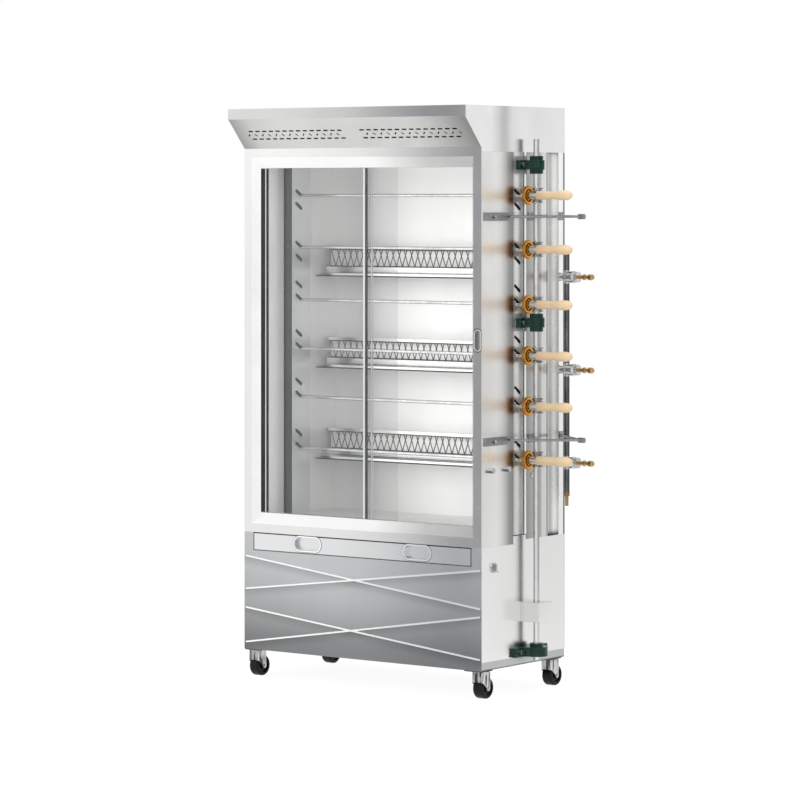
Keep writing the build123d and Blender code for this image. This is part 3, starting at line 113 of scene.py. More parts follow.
def mixOf(tree, share, first, second, blend="MIX"):
    # colour mix: 0 gives first, 1 gives second
    node = addNode(tree, "Mix", data_type="RGBA", blend_type=blend)
    for index, value in ((0, share), (6, first), (7, second)):
        if isinstance(value, bpy.types.NodeSocket):
            tree.links.new(value, node.inputs[index])
        else:
            node.inputs[index].default_value = value if index == 0 else (*value, 1.0)
    return node.outputs[2]


def rampOf(tree, value, stops):
    ramp = addNode(tree, "ValToRGB", {"Fac": value})
    elements = ramp.color_ramp.elements
    while len(elements) > 1:
        elements.remove(elements[-1])
    for index, (place, tone) in enumerate(stops):
        element = elements[0] if index == 0 else elements.new(place)
        element.position = place
        element.color = (tone, tone, tone, 1.0) if isinstance(tone, float) else (*tone, 1.0)
    return ramp.outputs["Color"]


# The room that metal mirrors: brightness by compass angle, once round from behind the part on its left
roomLight = {
    "ambient": 0.62,
    "mirror": 1.2,
    "compass": (
        (0.0, 0.80), (
            0.083, 0.92
        ), (0.147, 0.97), (0.25, 0.95), (0.31, 0.80), (0.354, 0.68), (0.39, 0.88), (0.435, 0.90),
        (
            0.458, 0.40
        ), (0.49, 0.28), (0.585, 0.30), (0.612, 0.62), (0.65, 0.80), (0.68, 0.72), (0.72, 0.34), (0.78, 0.20),
        (0.85, 0.30), (0.93, 0.64), (1.0, 0.80),
    ),
}
world = bpy.data.worlds.new("studio")
scene.world = world
world.cycles.sampling_method = "NONE"
world.use_nodes = True
tree = world.node_tree
tree.nodes.clear()


def compassTone(tree, parts):
    # the room's tone in the direction of a place or vector, from its Y and X
    turn = mathOf(tree, "ARCTAN2", parts.outputs["Y"], parts.outputs["X"])
    return rampOf(tree, spread(tree, turn, 0.0, 1.0, -math.pi, math.pi), roomLight["compass"])


path = addNode(tree, "LightPath")
direction = addNode(tree, "SeparateXYZ", {0: addNode(tree, "TexCoord").outputs["Generated"]})
compass = compassTone(tree, direction)
lift = rampOf(tree, direction.outputs["Z"], ((0.0, 0.0), (0.35, 0.1), (0.75, 0.8), (1.0, 1.0)))
room = mixOf(tree, lift, compass, (0.80, 0.80, 0.80))
mirrored = addNode(tree, "Background", {"Color": room, "Strength": roomLight["mirror"]})
ambient = addNode(tree, "Background", {"Color": (1.0, 1.0, 1.0, 1.0), "Strength": roomLight["ambient"]})
seen = addNode(tree, "Background", {"Color": (1.0, 1.0, 1.0, 1.0), "Strength": 1.0})
byGloss = addNode(
    tree, "MixShader", {0: path.outputs["Is Glossy Ray"], 1: ambient.outputs[0], 2: mirrored.outputs[0]}
)
byCamera = addNode(
    tree, "MixShader", {0: path.outputs["Is Camera Ray"], 1: byGloss.outputs[0], 2: seen.outputs[0]}
)
addNode(tree, "OutputWorld", {"Surface": byCamera.outputs[0]})


def flatSheet(name, corners):
    # a stage surface with four corners
    mesh = bpy.data.meshes.new(name)
    mesh.from_pydata([tuple(corner) for corner in corners], [], [(0, 1, 2, 3)])
    sheetObject = bpy.data.objects.new(name, mesh)
    scene.collection.objects.link(sheetObject)
    return sheetObject


stageSet = {
    "floorHalf": 14.0, "floorTone": 0.82, "floorShare": 0.86, "floorGlow": 1.09, "floorFar": (1.1, 4.0)
}
half = stageSet["floorHalf"]
floor = flatSheet("floor", ((-half, -half, 0), (half, -half, 0), (half, half, 0), (-half, half, 0)))
floorMaterial = bpy.data.materials.new("paleFloor")
floorMaterial.use_nodes = True
tree = floorMaterial.node_tree
tree.nodes.clear()
path = addNode(tree, "LightPath")
tone = stageSet["floorTone"]
paper = addNode(tree, "BsdfDiffuse", {"Color": (tone, tone, tone, 1.0)})
place = addNode(tree, "TexCoord").outputs["Object"]
distance = addNode(tree, "VectorMath", {0: place}, operation="LENGTH").outputs["Value"]
far = spread(tree, distance, 0.0, 1.0, *stageSet["floorFar"])
farTone = mixOf(tree, far, (1.0, 1.0, 1.0), compassTone(tree, addNode(tree, "SeparateXYZ", {0: place})))
glowTone = mixOf(tree, path.outputs["Is Glossy Ray"], (1.0, 1.0, 1.0), farTone)
glow = addNode(tree, "Emission", {"Color": glowTone, "Strength": stageSet["floorGlow"]})
direct = mathOf(tree, "ADD", path.outputs["Is Camera Ray"], path.outputs["Is Glossy Ray"], True)
direct = mathOf(tree, "ADD", direct, path.outputs["Is Transmission Ray"], True)
share = mathOf(tree, "MULTIPLY", direct, stageSet["floorShare"])
both = addNode(tree, "MixShader", {0: share, 1: paper.outputs[0], 2: glow.outputs[0]})
addNode(tree, "OutputMaterial", {"Surface": both.outputs[0]})
floor.data.materials.append(floorMaterial)

# A grey flag that only metal mirrors: it shades the right-hand half of the front
flags = {
    "frontFlag": {
        "corners": ((-0.70, -0.68, 0.0), (0.20, -0.68, 0.0), (0.20, -0.68, 2.4), (-0.70, -0.68, 2.4)),
        "axis": "X", "span": (-0.70, 0.20), "colour": (0.388, 0.40, 0.412, 1.0),
        "cover": (
            (0.0, 0.0), (0.10, 0.0), (
                0.31, 0.16
            ), (0.54, 0.72), (0.72, 1.0), (0.87, 1.0), (0.96, 0.0), (1.0, 0.0),
        ),
    },
}
for flagName, flag in flags.items():
    card = flatSheet(flagName, flag["corners"])
    card.visible_camera = card.visible_diffuse = card.visible_shadow = card.visible_transmission = False
    material = bpy.data.materials.new(flagName)
    material.use_nodes = True
    material.cycles.emission_sampling = "NONE"
    tree = material.node_tree
    tree.nodes.clear()
    along = addNode(
        tree, "SeparateXYZ", {0: addNode(tree, "TexCoord").outputs["Object"]}
    ).outputs[flag["axis"]]
    along = spread(tree, along, 0.0, 1.0, *flag["span"])
    cover = rampOf(tree, along, flag["cover"])
    cloth = addNode(tree, "Emission", {"Color": flag["colour"], "Strength": 1.0})
    clear = addNode(tree, "BsdfTransparent")
    both = addNode(tree, "MixShader", {0: cover, 1: clear.outputs[0], 2: cloth.outputs[0]})
    addNode(tree, "OutputMaterial", {"Surface": both.outputs[0]})
    card.data.materials.append(material)
print("camera, lamps and floor are in place")

# ---------- materials


def startMaterial(name, **constants):
    # a Principled material with its constants set, its tree, its shader and Object coordinates
    material = bpy.data.materials.new(name)
    material.use_nodes = True
    tree = material.node_tree
    tree.nodes.clear()
    shader = addNode(tree, "BsdfPrincipled")
    for key, value in constants.items():
        shader.inputs[key.replace("_", " ")].default_value = value
    addNode(tree, "OutputMaterial", {"Surface": shader.outputs[0]})
    coordinates = addNode(tree, "TexCoord").outputs["Object"]
    return material, tree, shader, coordinates


def noiseAt(tree, coordinates, scale, detail=2.0, roughness=0.5):
    # noise whose scale differs by axis, so that a long scale on one axis draws grain along it
    stretched = addNode(tree, "Mapping", {"Vector": coordinates, "Scale": scale})
    values = {"Vector": stretched.outputs[0], "Scale": 1.0, "Detail": detail, "Roughness": roughness}
    return addNode(tree, "TexNoise", values).outputs["Fac"]


def roundedNormal(tree, radius):
    return addNode(tree, "Bevel", {"Radius": radius}, samples=4).outputs[0]


def edgeShare(tree, rounded, strength):
    # how far the rounded normal leans from the surface's own: 0 on flats, up to strength along edges
    flat = addNode(tree, "NewGeometry").outputs["Normal"]
    lean = addNode(tree, "VectorMath", {0: rounded, 1: flat}, operation="DOT_PRODUCT").outputs["Value"]
    return spread(tree, lean, strength, 0.0, 0.80, 0.995)


def feed(tree, shader, **sockets):
    for key, value in sockets.items():
        tree.links.new(value, shader.inputs[key.replace("_", " ")])


def shadeAlong(tree, coordinates, axis, stops):
    # painted light and shade: brightness by place along one axis, from (metres, tone) stops
    low, high = stops[0][0], stops[-1][0]
    along = spread(tree, addNode(tree, "SeparateXYZ", {0: coordinates}).outputs[axis], 0.0, 1.0, low, high)
    return rampOf(tree, along, [((place - low) / (high - low), tone) for place, tone in stops])


def facing(tree, axis, low, high):
    # how squarely a face looks along an axis, either way: 0 below low, 1 above high
    normal = addNode(
        tree, "SeparateXYZ", {0: addNode(tree, "NewGeometry").outputs["True Normal"]}
    ).outputs[axis]
    return spread(tree, mathOf(tree, "ABSOLUTE", normal), 0.0, 1.0, low, high)


def metalSheet(name, finish):
    # rolled and brushed sheet: fine grain along one axis, broad mottling, faint smudges, and a painted
    # highlight along rounded edges (painted shade where the edge factor is below one)
    material, tree, shader, coordinates = startMaterial(name, Metallic=finish.get("metal", 1.0))
    long, fine, vary = 3.0, 900.0, 0.06
    grain = {"X": (long, fine, fine), "Y": (fine, long, fine), "Z": (fine, fine, long)}[finish["grain"]]
    streaks = noiseAt(tree, coordinates, grain, 3.0, 0.6)
    mottle = noiseAt(tree, coordinates, (2.3, 2.3, 1.7), 2.0)
    smudges = noiseAt(tree, coordinates, (11.0, 11.0, 9.0), 4.0, 0.65)
    rounded = roundedNormal(tree, finish.get("round", 0.0008))
    edges = edgeShare(tree, rounded, finish.get("paintedEdgeShare", 0.6))
    tint = finish["tint"]
    darker = tuple(c * (1 - vary) for c in tint)
    lighter = tuple(min(1.0, c * (1 + vary)) for c in tint)
    colour = mixOf(tree, spread(tree, mottle, 0.0, 1.0, 0.3, 0.7), darker, lighter)
    colour = mixOf(tree, spread(tree, streaks, 0.0, 0.35, 0.35, 0.75), colour, lighter)
    # painted shade and painted reflections: the colour multiplied by tone ramps along axes
    for axis, stops in finish.get("shades", ()):
        colour = mixOf(tree, 1.0, colour, shadeAlong(tree, coordinates, axis, stops), "MULTIPLY")
    # painted shade: the punched and folded faces below are darkened to the given tone
    if "walls" in finish:  # punched edges and folded sides of a panel that looks along this axis
        axis, tone = finish["walls"]
        colour = mixOf(tree, facing(tree, axis, 0.35, 0.6), tone, colour)
    if "inside" in finish:  # faces that look towards this point are out of the light
        outwards = addNode(
            tree, "VectorMath", {0: coordinates, 1: finish["inside"]}, operation="SUBTRACT"
        ).outputs[0]
        flat = addNode(tree, "NewGeometry").outputs["True Normal"]
        away = addNode(tree, "VectorMath", {0: outwards, 1: flat}, operation="DOT_PRODUCT").outputs["Value"]
        colour = mixOf(tree, mathOf(tree, "LESS_THAN", away, 0.0), colour, (0.05, 0.05, 0.05))
    # painted highlight along rounded edges: the tint raised by the edge factor, or lowered as painted shade
    # where the factor is below one
    colour = mixOf(tree, edges, colour, tuple(min(1.0, c * finish.get("edge", 1.16)) for c in tint))
    rough = finish["rough"]
    roughness = mathOf(
        tree, "ADD", spread(tree, streaks, rough - 0.04, rough + 0.04),
        spread(tree, smudges, -0.03, 0.05, 0.3, 0.7)
    )
    heights = mathOf(
        tree, "ADD", mathOf(tree, "MULTIPLY", streaks, 0.000004),
        mathOf(tree, "MULTIPLY", mottle, finish.get("wave", 0.0015))
    )
    relief = addNode(tree, "Bump", {"Strength": 1.0, "Distance": 1.0, "Height": heights, "Normal": rounded})
    feed(tree, shader, Roughness=roughness, Normal=relief.outputs[0])
    # an extra step that paints shade, shadow lines and highlights onto the colour
    if "finish" in finish:
        colour = finish["finish"](tree, coordinates, colour)
    feed(tree, shader, Base_Color=colour)
    return material


def paintedCast(name, finish):
    # sand-cast and sprayed: pebbled surface, paint tone varied broadly at random, a painted highlight along
    # sharp edges
    constants = {"Coat Weight": finish.get("coat", 0.3), "Coat Roughness": 0.2}
    material, tree, shader, coordinates = startMaterial(
        name, **constants, Specular_IOR_Level=finish.get("shine", 0.5)
    )
    pebbles = noiseAt(tree, coordinates, (420.0,) * 3, 3.0, 0.55)
    broad = noiseAt(tree, coordinates, (38.0,) * 3, 2.0)
    rounded = roundedNormal(tree, finish.get("round", 0.0022))
    edges = edgeShare(tree, rounded, finish.get("paintedEdgeShare", 0.35))
    colour = mixOf(tree, spread(tree, broad, 0.0, 1.0, 0.3, 0.7), finish["low"], finish["high"])
    # painted highlight: the edge colour along sharp edges
    colour = mixOf(tree, edges, colour, finish["edge"])
    roughness = spread(tree, pebbles, finish["rough"] - 0.06, finish["rough"] + 0.08)
    relief = addNode(
        tree, "Bump", {"Strength": 0.35, "Distance": 0.0006, "Height": pebbles, "Normal": rounded}
    )
    feed(tree, shader, Base_Color=colour, Roughness=roughness, Normal=relief.outputs[0])
    return material


def chromeBands(tree, colour, direction, stops):
    # painted reflection: the dark and bright bands of polished metal, by how far the surface leans from one
    # direction
    flat = addNode(tree, "NewGeometry").outputs["Normal"]
    lean = addNode(tree, "VectorMath", {0: flat, 1: direction}, operation="DOT_PRODUCT").outputs["Value"]
    return mixOf(
        tree, 1.0, colour, rampOf(tree, spread(tree, lean, 0.0, 1.0, -1.0, 1.0), stops), "MULTIPLY"
    )


def turnedMetal(name, finish):
    # drawn or turned bar: faint rings across the axis, soft tarnish, a painted highlight on its edges
    material, tree, shader, coordinates = startMaterial(name, Metallic=1.0)
    fine = {"X": (1400.0, 60.0, 60.0), "Y": (60.0, 1400.0, 60.0), "Z": (60.0, 60.0, 1400.0)}[finish["axis"]]
    rings = noiseAt(tree, coordinates, fine, 2.0)
    tarnish = noiseAt(tree, coordinates, (55.0,) * 3, 4.0, 0.6)
    rounded = roundedNormal(tree, 0.0005)
    edges = edgeShare(tree, rounded, 0.5)
    colour = mixOf(tree, spread(tree, tarnish, 0.0, 1.0, 0.35, 0.75), finish["tint"], finish["dull"])
    colour = mixOf(tree, edges, colour, finish["bright"])
    if "streaks" in finish:  # painted reflection: dark and bright streaks that run down a chromed pressing
        glints = noiseAt(tree, coordinates, finish["streaks"], 1.0)
        colour = mixOf(
            tree, 1.0, colour,
            rampOf(tree, glints, ((0.40, 0.12), (0.46, 0.85), (0.52, 1.0), (0.57, 0.35), (0.62, 0.95))),
            "MULTIPLY"
        )
    if "bands" in finish:
        colour = chromeBands(tree, colour, *finish["bands"])
    roughness = mathOf(
        tree, "ADD", spread(tree, rings, finish["rough"] - 0.03, finish["rough"] + 0.05),
        spread(tree, tarnish, 0.0, 0.08, 0.4, 0.8)
    )
    relief = addNode(
        tree, "Bump", {"Strength": 0.25, "Distance": 0.0002, "Height": rings, "Normal": rounded}
    )
    feed(tree, shader, Base_Color=colour, Roughness=roughness, Normal=relief.outputs[0])
    return material


def dress(material, *names):
    for name in names:
        for materialSlot in nodes[name].material_slots:
            materialSlot.material = material


def lineNear(tree, value, at, half, tone):
    # a dark or light line where a value passes one place
    distance = mathOf(tree, "ABSOLUTE", mathOf(tree, "SUBTRACT", value, at))
    return spread(tree, distance, tone, 1.0, half * 0.6, half)


# Front of the base: pressed ribs, each with its lit crest and a soft shadow under it
base = {
    "left": -0.5391, "right": 0.3509,
    "ribs": ((0.3730, 0.2685), (0.2709, 0.3813), (0.2137, 0.1190), (0.1063, 0.2445)),
    "shadow": 0.030, "depth": 0.72,
}


def ribShadows(tree, coordinates, colour):
    parts = addNode(tree, "SeparateXYZ", {0: coordinates})
    along = spread(tree, parts.outputs["X"], 0.0, 1.0, base["left"], base["right"])
    for start, end in base["ribs"]:
        height = spread(tree, along, start, end)
        below = mathOf(tree, "SUBTRACT", height, parts.outputs["Z"])
        under = spread(tree, below, base["depth"], 1.0, 0.002, base["shadow"])
        under = mixOf(tree, mathOf(tree, "GREATER_THAN", below, 0.0026), (1.0, 1.0, 1.0), under)
        colour = mixOf(tree, 1.0, colour, under, "MULTIPLY")
    crest = spread(tree, parts.outputs["Y"], 1.0, 0.0, -0.1785, -0.1779)
    return mixOf(tree, crest, colour, (1.0, 1.0, 0.99))


# Drawer face: painted shade as a dark line round its edge, a painted highlight on the bead round each cup,
# with a dark line of painted shade outside it and a fainter one inside
drawer = {
    "middle": -0.0941, "half": 0.4125, "low": 0.3925, "high": 0.4455, "cups": (-0.2961, 0.1199),
    "cupZ": 0.421, "cupRun": 0.030, "cupRadius": 0.024
}


def drawerShadeAndHighlight(tree, coordinates, colour):
    parts = addNode(tree, "SeparateXYZ", {0: coordinates})
    fromMiddle = mathOf(tree, "ABSOLUTE", mathOf(tree, "SUBTRACT", parts.outputs["X"], drawer["middle"]))
    onFace = spread(tree, parts.outputs["Y"], 1.0, 0.0, -0.1746, -0.1744)
    shadeLines = mathOf(
        tree, "MULTIPLY", lineNear(tree, fromMiddle, drawer["half"], 0.0022, 0.10),
        lineNear(tree, parts.outputs["Z"], drawer["high"], 0.0026, 0.06)
    )
    shadeLines = mathOf(tree, "MULTIPLY", shadeLines, lineNear(tree, parts.outputs["Z"], drawer["low"], 0.0018, 0.16))
    nearest = None
    for cup in drawer["cups"]:
        # distance outside a rounded slot: from its straight part, less its radius
        run = mathOf(
            tree, "SUBTRACT", mathOf(tree, "ABSOLUTE", mathOf(tree, "SUBTRACT", parts.outputs["X"], cup)),
            drawer["cupRun"]
        )
        run = mathOf(tree, "MAXIMUM", run, 0.0)
        rise = mathOf(tree, "SUBTRACT", parts.outputs["Z"], drawer["cupZ"])
        reach = addNode(
            tree, "VectorMath", {0: addNode(tree, "CombineXYZ", {"X": run, "Y": rise}).outputs[0]},
            operation="LENGTH"
        ).outputs["Value"]
        outside = mathOf(tree, "SUBTRACT", reach, drawer["cupRadius"])
        nearest = outside if nearest is None else mathOf(tree, "MINIMUM", nearest, outside)
    shadeLines = mathOf(tree, "MULTIPLY", shadeLines, lineNear(tree, nearest, 0.0008, 0.0016, 0.42))
    shadeLines = mathOf(tree, "MULTIPLY", shadeLines, lineNear(tree, nearest, -0.0135, 0.0016, 0.62))
    shadeLines = mixOf(tree, onFace, (1.0, 1.0, 1.0), shadeLines)
    colour = mixOf(tree, 1.0, colour, shadeLines, "MULTIPLY")
    crest = mathOf(
        tree, "MULTIPLY", spread(tree, nearest, 1.0, 0.0, 0.0, 0.0004),
        spread(tree, parts.outputs["Y"], 1.0, 0.0, -0.1783, -0.1778)
    )
    return mixOf(tree, crest, colour, (1.0, 1.0, 1.0))


# Flush pull in the right column: a painted highlight on its white rim, painted shade as a dark line outside it
# and another down inside
pull = {"x": 0.3419, "z": 1.058, "run": 0.0195, "radius": 0.0135}


def pullShadeAndHighlight(tree, coordinates, colour):
    parts = addNode(tree, "SeparateXYZ", {0: coordinates})
    across = mathOf(tree, "SUBTRACT", parts.outputs["X"], pull["x"])
    rise = mathOf(tree, "ABSOLUTE", mathOf(tree, "SUBTRACT", parts.outputs["Z"], pull["z"]))
    run = mathOf(tree, "MAXIMUM", mathOf(tree, "SUBTRACT", rise, pull["run"]), 0.0)
    reach = addNode(
        tree, "VectorMath", {0: addNode(tree, "CombineXYZ", {"X": across, "Y": run}).outputs[0]},
        operation="LENGTH"
    ).outputs["Value"]
    outside = mathOf(tree, "SUBTRACT", reach, pull["radius"])
    shadeLines = mathOf(
        tree, "MULTIPLY", lineNear(tree, outside, 0.0012, 0.0016, 0.22),
        lineNear(tree, outside, -0.0050, 0.0016, 0.40)
    )
    onFront = spread(tree, parts.outputs["Y"], 1.0, 0.0, -0.1700, -0.1650)
    colour = mixOf(tree, 1.0, colour, mixOf(tree, onFront, (1.0, 1.0, 1.0), shadeLines), "MULTIPLY")
    crest = spread(tree, parts.outputs["Y"], 1.0, 0.0, -0.1782, -0.1777)
    return mixOf(tree, crest, colour, (1.0, 1.0, 1.0))


def driveShades(tree, coordinates, colour):
    # painted shade and painted reflection: flat plate toned by its depth along Y; the end wall of the recess
    # brightens outwards along X
    plate = shadeAlong(tree, coordinates, "Y", (
        (
            0.0505, 0.34
        ), (0.058, 0.44), (0.080, 0.56), (0.098, 0.62), (0.110, 0.62), (0.131, 0.62), (0.138, 1.02),
        (0.147, 0.86), (0.153, 1.05), (0.160, 0.60), (
            0.1653, 0.50
        ), (0.1657, 0.55), (0.1740, 0.62), (0.1820, 1.0), (0.1920, 1.35), (0.2060, 1.35), (0.2100, 1.0),
        (0.2225, 0.9), (0.2260, 1.25), (0.2480, 1.25), (0.2500, 0.22), (0.2575, 0.22)))
    wall = shadeAlong(
        tree, coordinates, "X", ((0.3240, 0.85), (0.3300, 1.15), (0.3400, 1.30), (0.3559, 1.50))
    )
    tone = mixOf(tree, facing(tree, "X", 0.35, 0.6), wall, plate)
    return mixOf(tree, 1.0, colour, tone, "MULTIPLY")


# Painted shade and painted reflections: tone stops along one axis for the sheets below, below one where shade
# or dark reflections fall, above one where highlights fall
sideLightAndShade = ((-0.177, 1.04), (-0.100, 1.10), (-0.078, 1.0), (-0.056, 0.76), (-0.036, 0.46), (-0.014, 0.38))
stripLightAndShade = (
    (-0.014, 0.56), (-0.006, 0.82), (0.004, 1.04), (0.012, 1.2), (0.022, 1.22), (0.031, 1.2), (0.0380, 1.2),
    (0.0390, 1.5), (0.0482, 1.5), (0.0490, 0.34), (0.0505, 0.34),
)
frontLightAndShade = ((0.085, 0.42), (0.13, 0.46), (0.20, 0.70), (0.26, 0.88), (0.34, 1.0), (0.447, 1.06))
ventLightAndShade = ((-0.545, 0.46), (-0.47, 0.84), (-0.30, 1.0), (0.12, 1.0), (0.26, 0.72), (0.356, 0.40))
hoodLightAndShade = (
    (-0.2575, 0.68), (-0.2560, 0.68), (-0.2545, 1.02), (-0.130, 1.0), (-0.095, 0.84), (-0.068, 0.66),
    (-0.052, 0.66), (-0.020, 0.90), (0.030, 0.96), (0.2575, 0.97)
)
baseLightAndShade = ((0.085, 0.86), (0.20, 0.90), (0.40, 1.0), (0.472, 1.0))

# Sheet metal, each with the direction it was brushed in; their tints differ from panel to panel partly as
# painted light and shade
sheets = {
    # frame and surround: darker towards the right as painted shade; the frame's extra step paints the pull's
    # highlight and shade
    "frameSteel": {
        "tint": (0.78, 0.78, 0.77), "rough": 0.22, "grain": "Z", "paintedEdgeShare": 0.9, "edge": 1.3,
        "shades": (("X", ((-0.5441, 1.0), (0.10, 1.0), (0.32, 0.88), (0.3559, 0.86))),), "finish": pullShadeAndHighlight
    },
    "surroundSteel": {
        "tint": (0.98, 0.98, 0.965), "rough": 0.20, "grain": "Z", "paintedEdgeShare": 0.7,
        "shades": (("X", ((-0.5441, 1.0), (-0.05, 0.98), (0.15, 0.60), (0.3279, 0.52))),)
    },
    "hoodSteel": {
        "tint": (0.88, 0.88, 0.875), "rough": 0.22, "grain": "X", "inside": (-0.094, -0.03, 1.69),
        "shades": (("Y", hoodLightAndShade),)
    },
    "ventSteel": {"tint": (0.72, 0.72, 0.70), "rough": 0.33, "grain": "X", "shades": (("X", ventLightAndShade),)},
    "frontSideSteel": {
        "tint": (0.80, 0.80, 0.79), "rough": 0.28, "grain": "Z", "wave": 0.001,
        "shades": (("Y", sideLightAndShade),)
    },
    # the spit strip: painted shade and reflection along Y, and its slot walls darkened as painted shade
    "stripSteel": {
        "tint": (0.80, 0.80, 0.79), "rough": 0.18, "metal": 0.75, "grain": "Z", "wave": 0.001,
        "shades": (("Y", stripLightAndShade),), "walls": ("X", (0.05, 0.05, 0.05))
    },
    "driveSideSteel": {
        "tint": (0.80, 0.80, 0.79), "rough": 0.20, "grain": "Z", "wave": 0.001, "finish": driveShades
    },
    "baseSideSteel": {
        "tint": (0.90, 0.90, 0.89), "rough": 0.22, "grain": "Z", "wave": 0.001,
        "shades": (("Z", baseLightAndShade),)
    },
    "backSteel": {"tint": (0.70, 0.70, 0.70), "rough": 0.34, "grain": "Z"},
    # front of the base: painted shade, darker towards the bottom and the left, with the ribs' painted shadows
    # and crests
    "baseSteel": {
        "tint": (0.55, 0.565, 0.575), "rough": 0.36, "grain": "X", "paintedEdgeShare": 0.9, "finish": ribShadows,
        "shades": (
            ("Z", frontLightAndShade),
            ("X", ((-0.5391, 0.90), (-0.30, 1.0), (-0.10, 1.06), (0.10, 1.03), (0.3509, 0.98)))
        )
    },
    "drawerSteel": {
        "tint": (0.76, 0.765, 0.77), "rough": 0.28, "grain": "X", "paintedEdgeShare": 0.9, "finish": drawerShadeAndHighlight
    },
    "linerSteel": {"tint": (0.91, 0.905, 0.89), "rough": 0.42, "grain": "X", "metal": 0.45},
    # the left channel's walls and inner faces darkened as painted shade
    "channelSteel": {
        "tint": (0.74, 0.75, 0.76), "rough": 0.34, "grain": "Z", "walls": ("X", (0.06, 0.06, 0.06)),
        "inside": (-0.492, 0.0175, 1.04)
    },
    # edge factor below one: the cover's edges darkened as painted shade
    "coverSteel": {
        "tint": (0.80, 0.80, 0.79), "rough": 0.22, "grain": "Z", "paintedEdgeShare": 0.9, "edge": 0.55, "round": 0.0020
    },
    # the base frame's bottom band darkened as painted shade
    "frameAngle": {
        "tint": (0.52, 0.525, 0.53), "rough": 0.36, "grain": "X",
        "shades": (("Z", ((0.082, 0.10), (0.0872, 0.16), (0.0885, 1.0), (0.60, 1.0))),)
    },
}
sheetOf = {name: metalSheet(name, finish) for name, finish in sheets.items()}
dress(sheetOf["frameSteel"], "front_frame")
dress(sheetOf["surroundSteel"], "door_frame")
dress(sheetOf["hoodSteel"], "hood_shell")
dress(sheetOf["ventSteel"], "hood_vent_panel")
dress(sheetOf["frontSideSteel"], "right_front_panel")
dress(sheetOf["stripSteel"], "spit_strip")
dress(sheetOf["driveSideSteel"], "drive_side_panel")
dress(sheetOf["baseSideSteel"], "base_right_panel")
dress(sheetOf["backSteel"], "rear_cover", "left_side_panel")
dress(sheetOf["baseSteel"], "base_front_panel")
dress(sheetOf["drawerSteel"], "grease_drawer")
dress(sheetOf["linerSteel"], "chamber_liner")
dress(sheetOf["channelSteel"], "left_spit_channel")
dress(sheetOf["coverSteel"], "gearbox_cover")
dress(sheetOf["frameAngle"], "base_frame")

# Turned and drawn metal
# Painted reflections: tone stops for the bands that chromeBands paints on bars
paintedReflectionBands = (
    (0.0, 0.30), (0.22, 0.30), (0.32, 0.85), (0.42, 0.22), (0.50, 0.30), (0.57, 1.0), (0.66, 0.75),
    (0.72, 0.20), (0.79, 0.95), (0.90, 1.0), (1.0, 0.65)
)
shaftReflectionBands = ((0.0, 0.20), (0.50, 0.25), (0.72, 0.42), (0.86, 0.80), (0.93, 1.0), (1.0, 1.0))
bars = {
    "shaftSteel": {
        "tint": (0.78, 0.78, 0.78), "dull": (0.66, 0.66, 0.65), "bright": (0.92, 0.92, 0.92), "rough": 0.14,
        "axis": "Z", "bands": ((0.70, -0.714, 0.0), shaftReflectionBands)
    },
    "wormSteel": {
        "tint": (0.50, 0.50, 0.50), "dull": (0.10, 0.095, 0.09), "bright": (0.85, 0.85, 0.84),
        "rough": 0.20, "axis": "Z"
    },
    "spitSteel": {
        "tint": (0.68, 0.68, 0.68), "dull": (0.52, 0.51, 0.50), "bright": (0.95, 0.95, 0.95), "rough": 0.12,
        "axis": "X"
    },
    "staySteel": {
        "tint": (0.36, 0.36, 0.37), "dull": (0.24, 0.24, 0.24), "bright": (0.62, 0.62, 0.62), "rough": 0.22,
        "axis": "X"
    },
    "boltSteel": {
        "tint": (0.78, 0.78, 0.78), "dull": (0.60, 0.60, 0.59), "bright": (0.93, 0.93, 0.93), "rough": 0.16,
        "axis": "X", "bands": ((0.30, -0.35, 0.887), paintedReflectionBands)
    },
    "latchChrome": {
        "tint": (0.86, 0.86, 0.87), "dull": (0.74, 0.74, 0.75), "bright": (0.96, 0.96, 0.96), "rough": 0.08,
        "axis": "X", "bands": ((0.30, -0.35, 0.887), paintedReflectionBands)
    },
    "forkZinc": {
        "tint": (0.80, 0.80, 0.80), "dull": (0.62, 0.62, 0.62), "bright": (0.96, 0.96, 0.96), "rough": 0.08,
        "axis": "Z", "bands": ((0.86, -0.35, 0.37), paintedReflectionBands), "streaks": (120.0, 120.0, 14.0)
    },
    "valveBrass": {
        "tint": (0.62, 0.38, 0.15), "dull": (0.40, 0.24, 0.10), "bright": (0.86, 0.62, 0.30), "rough": 0.24,
        "axis": "X"
    },
    # burner lattice: its dark tint stands in for the shade on the wires, as painted shade
    "latticeShadeSteel": {
        "tint": (0.12, 0.12, 0.12), "dull": (0.05, 0.05, 0.05), "bright": (0.30, 0.30, 0.30), "rough": 0.30,
        "axis": "X"
    },
}
barOf = {name: turnedMetal(name, finish) for name, finish in bars.items()}
dress(barOf["shaftSteel"], "drive_shaft")
dress(barOf["wormSteel"], "drive_worms", "motor_gear")
dress(barOf["staySteel"], "guard_stays")
dress(barOf["boltSteel"], "fasteners")
dress(barOf["latchChrome"], "panel_latch")
dress(barOf["latticeShadeSteel"], "burner_meshes")
dress(barOf["valveBrass"], "hose_tail", "valve_spindle_1", "valve_spindle_2", "valve_spindle_3")
spitLevels = [1.485, 1.324, 1.160, 1.008, 0.857, 0.697]
for index in range(1, 7):
    dress(barOf["spitSteel"], f"spit_{index}_rod")
casters = ["front_left", "front_right", "rear_left", "rear_right"]
for corner in casters:
    dress(barOf["forkZinc"], f"caster_{corner}_fork")

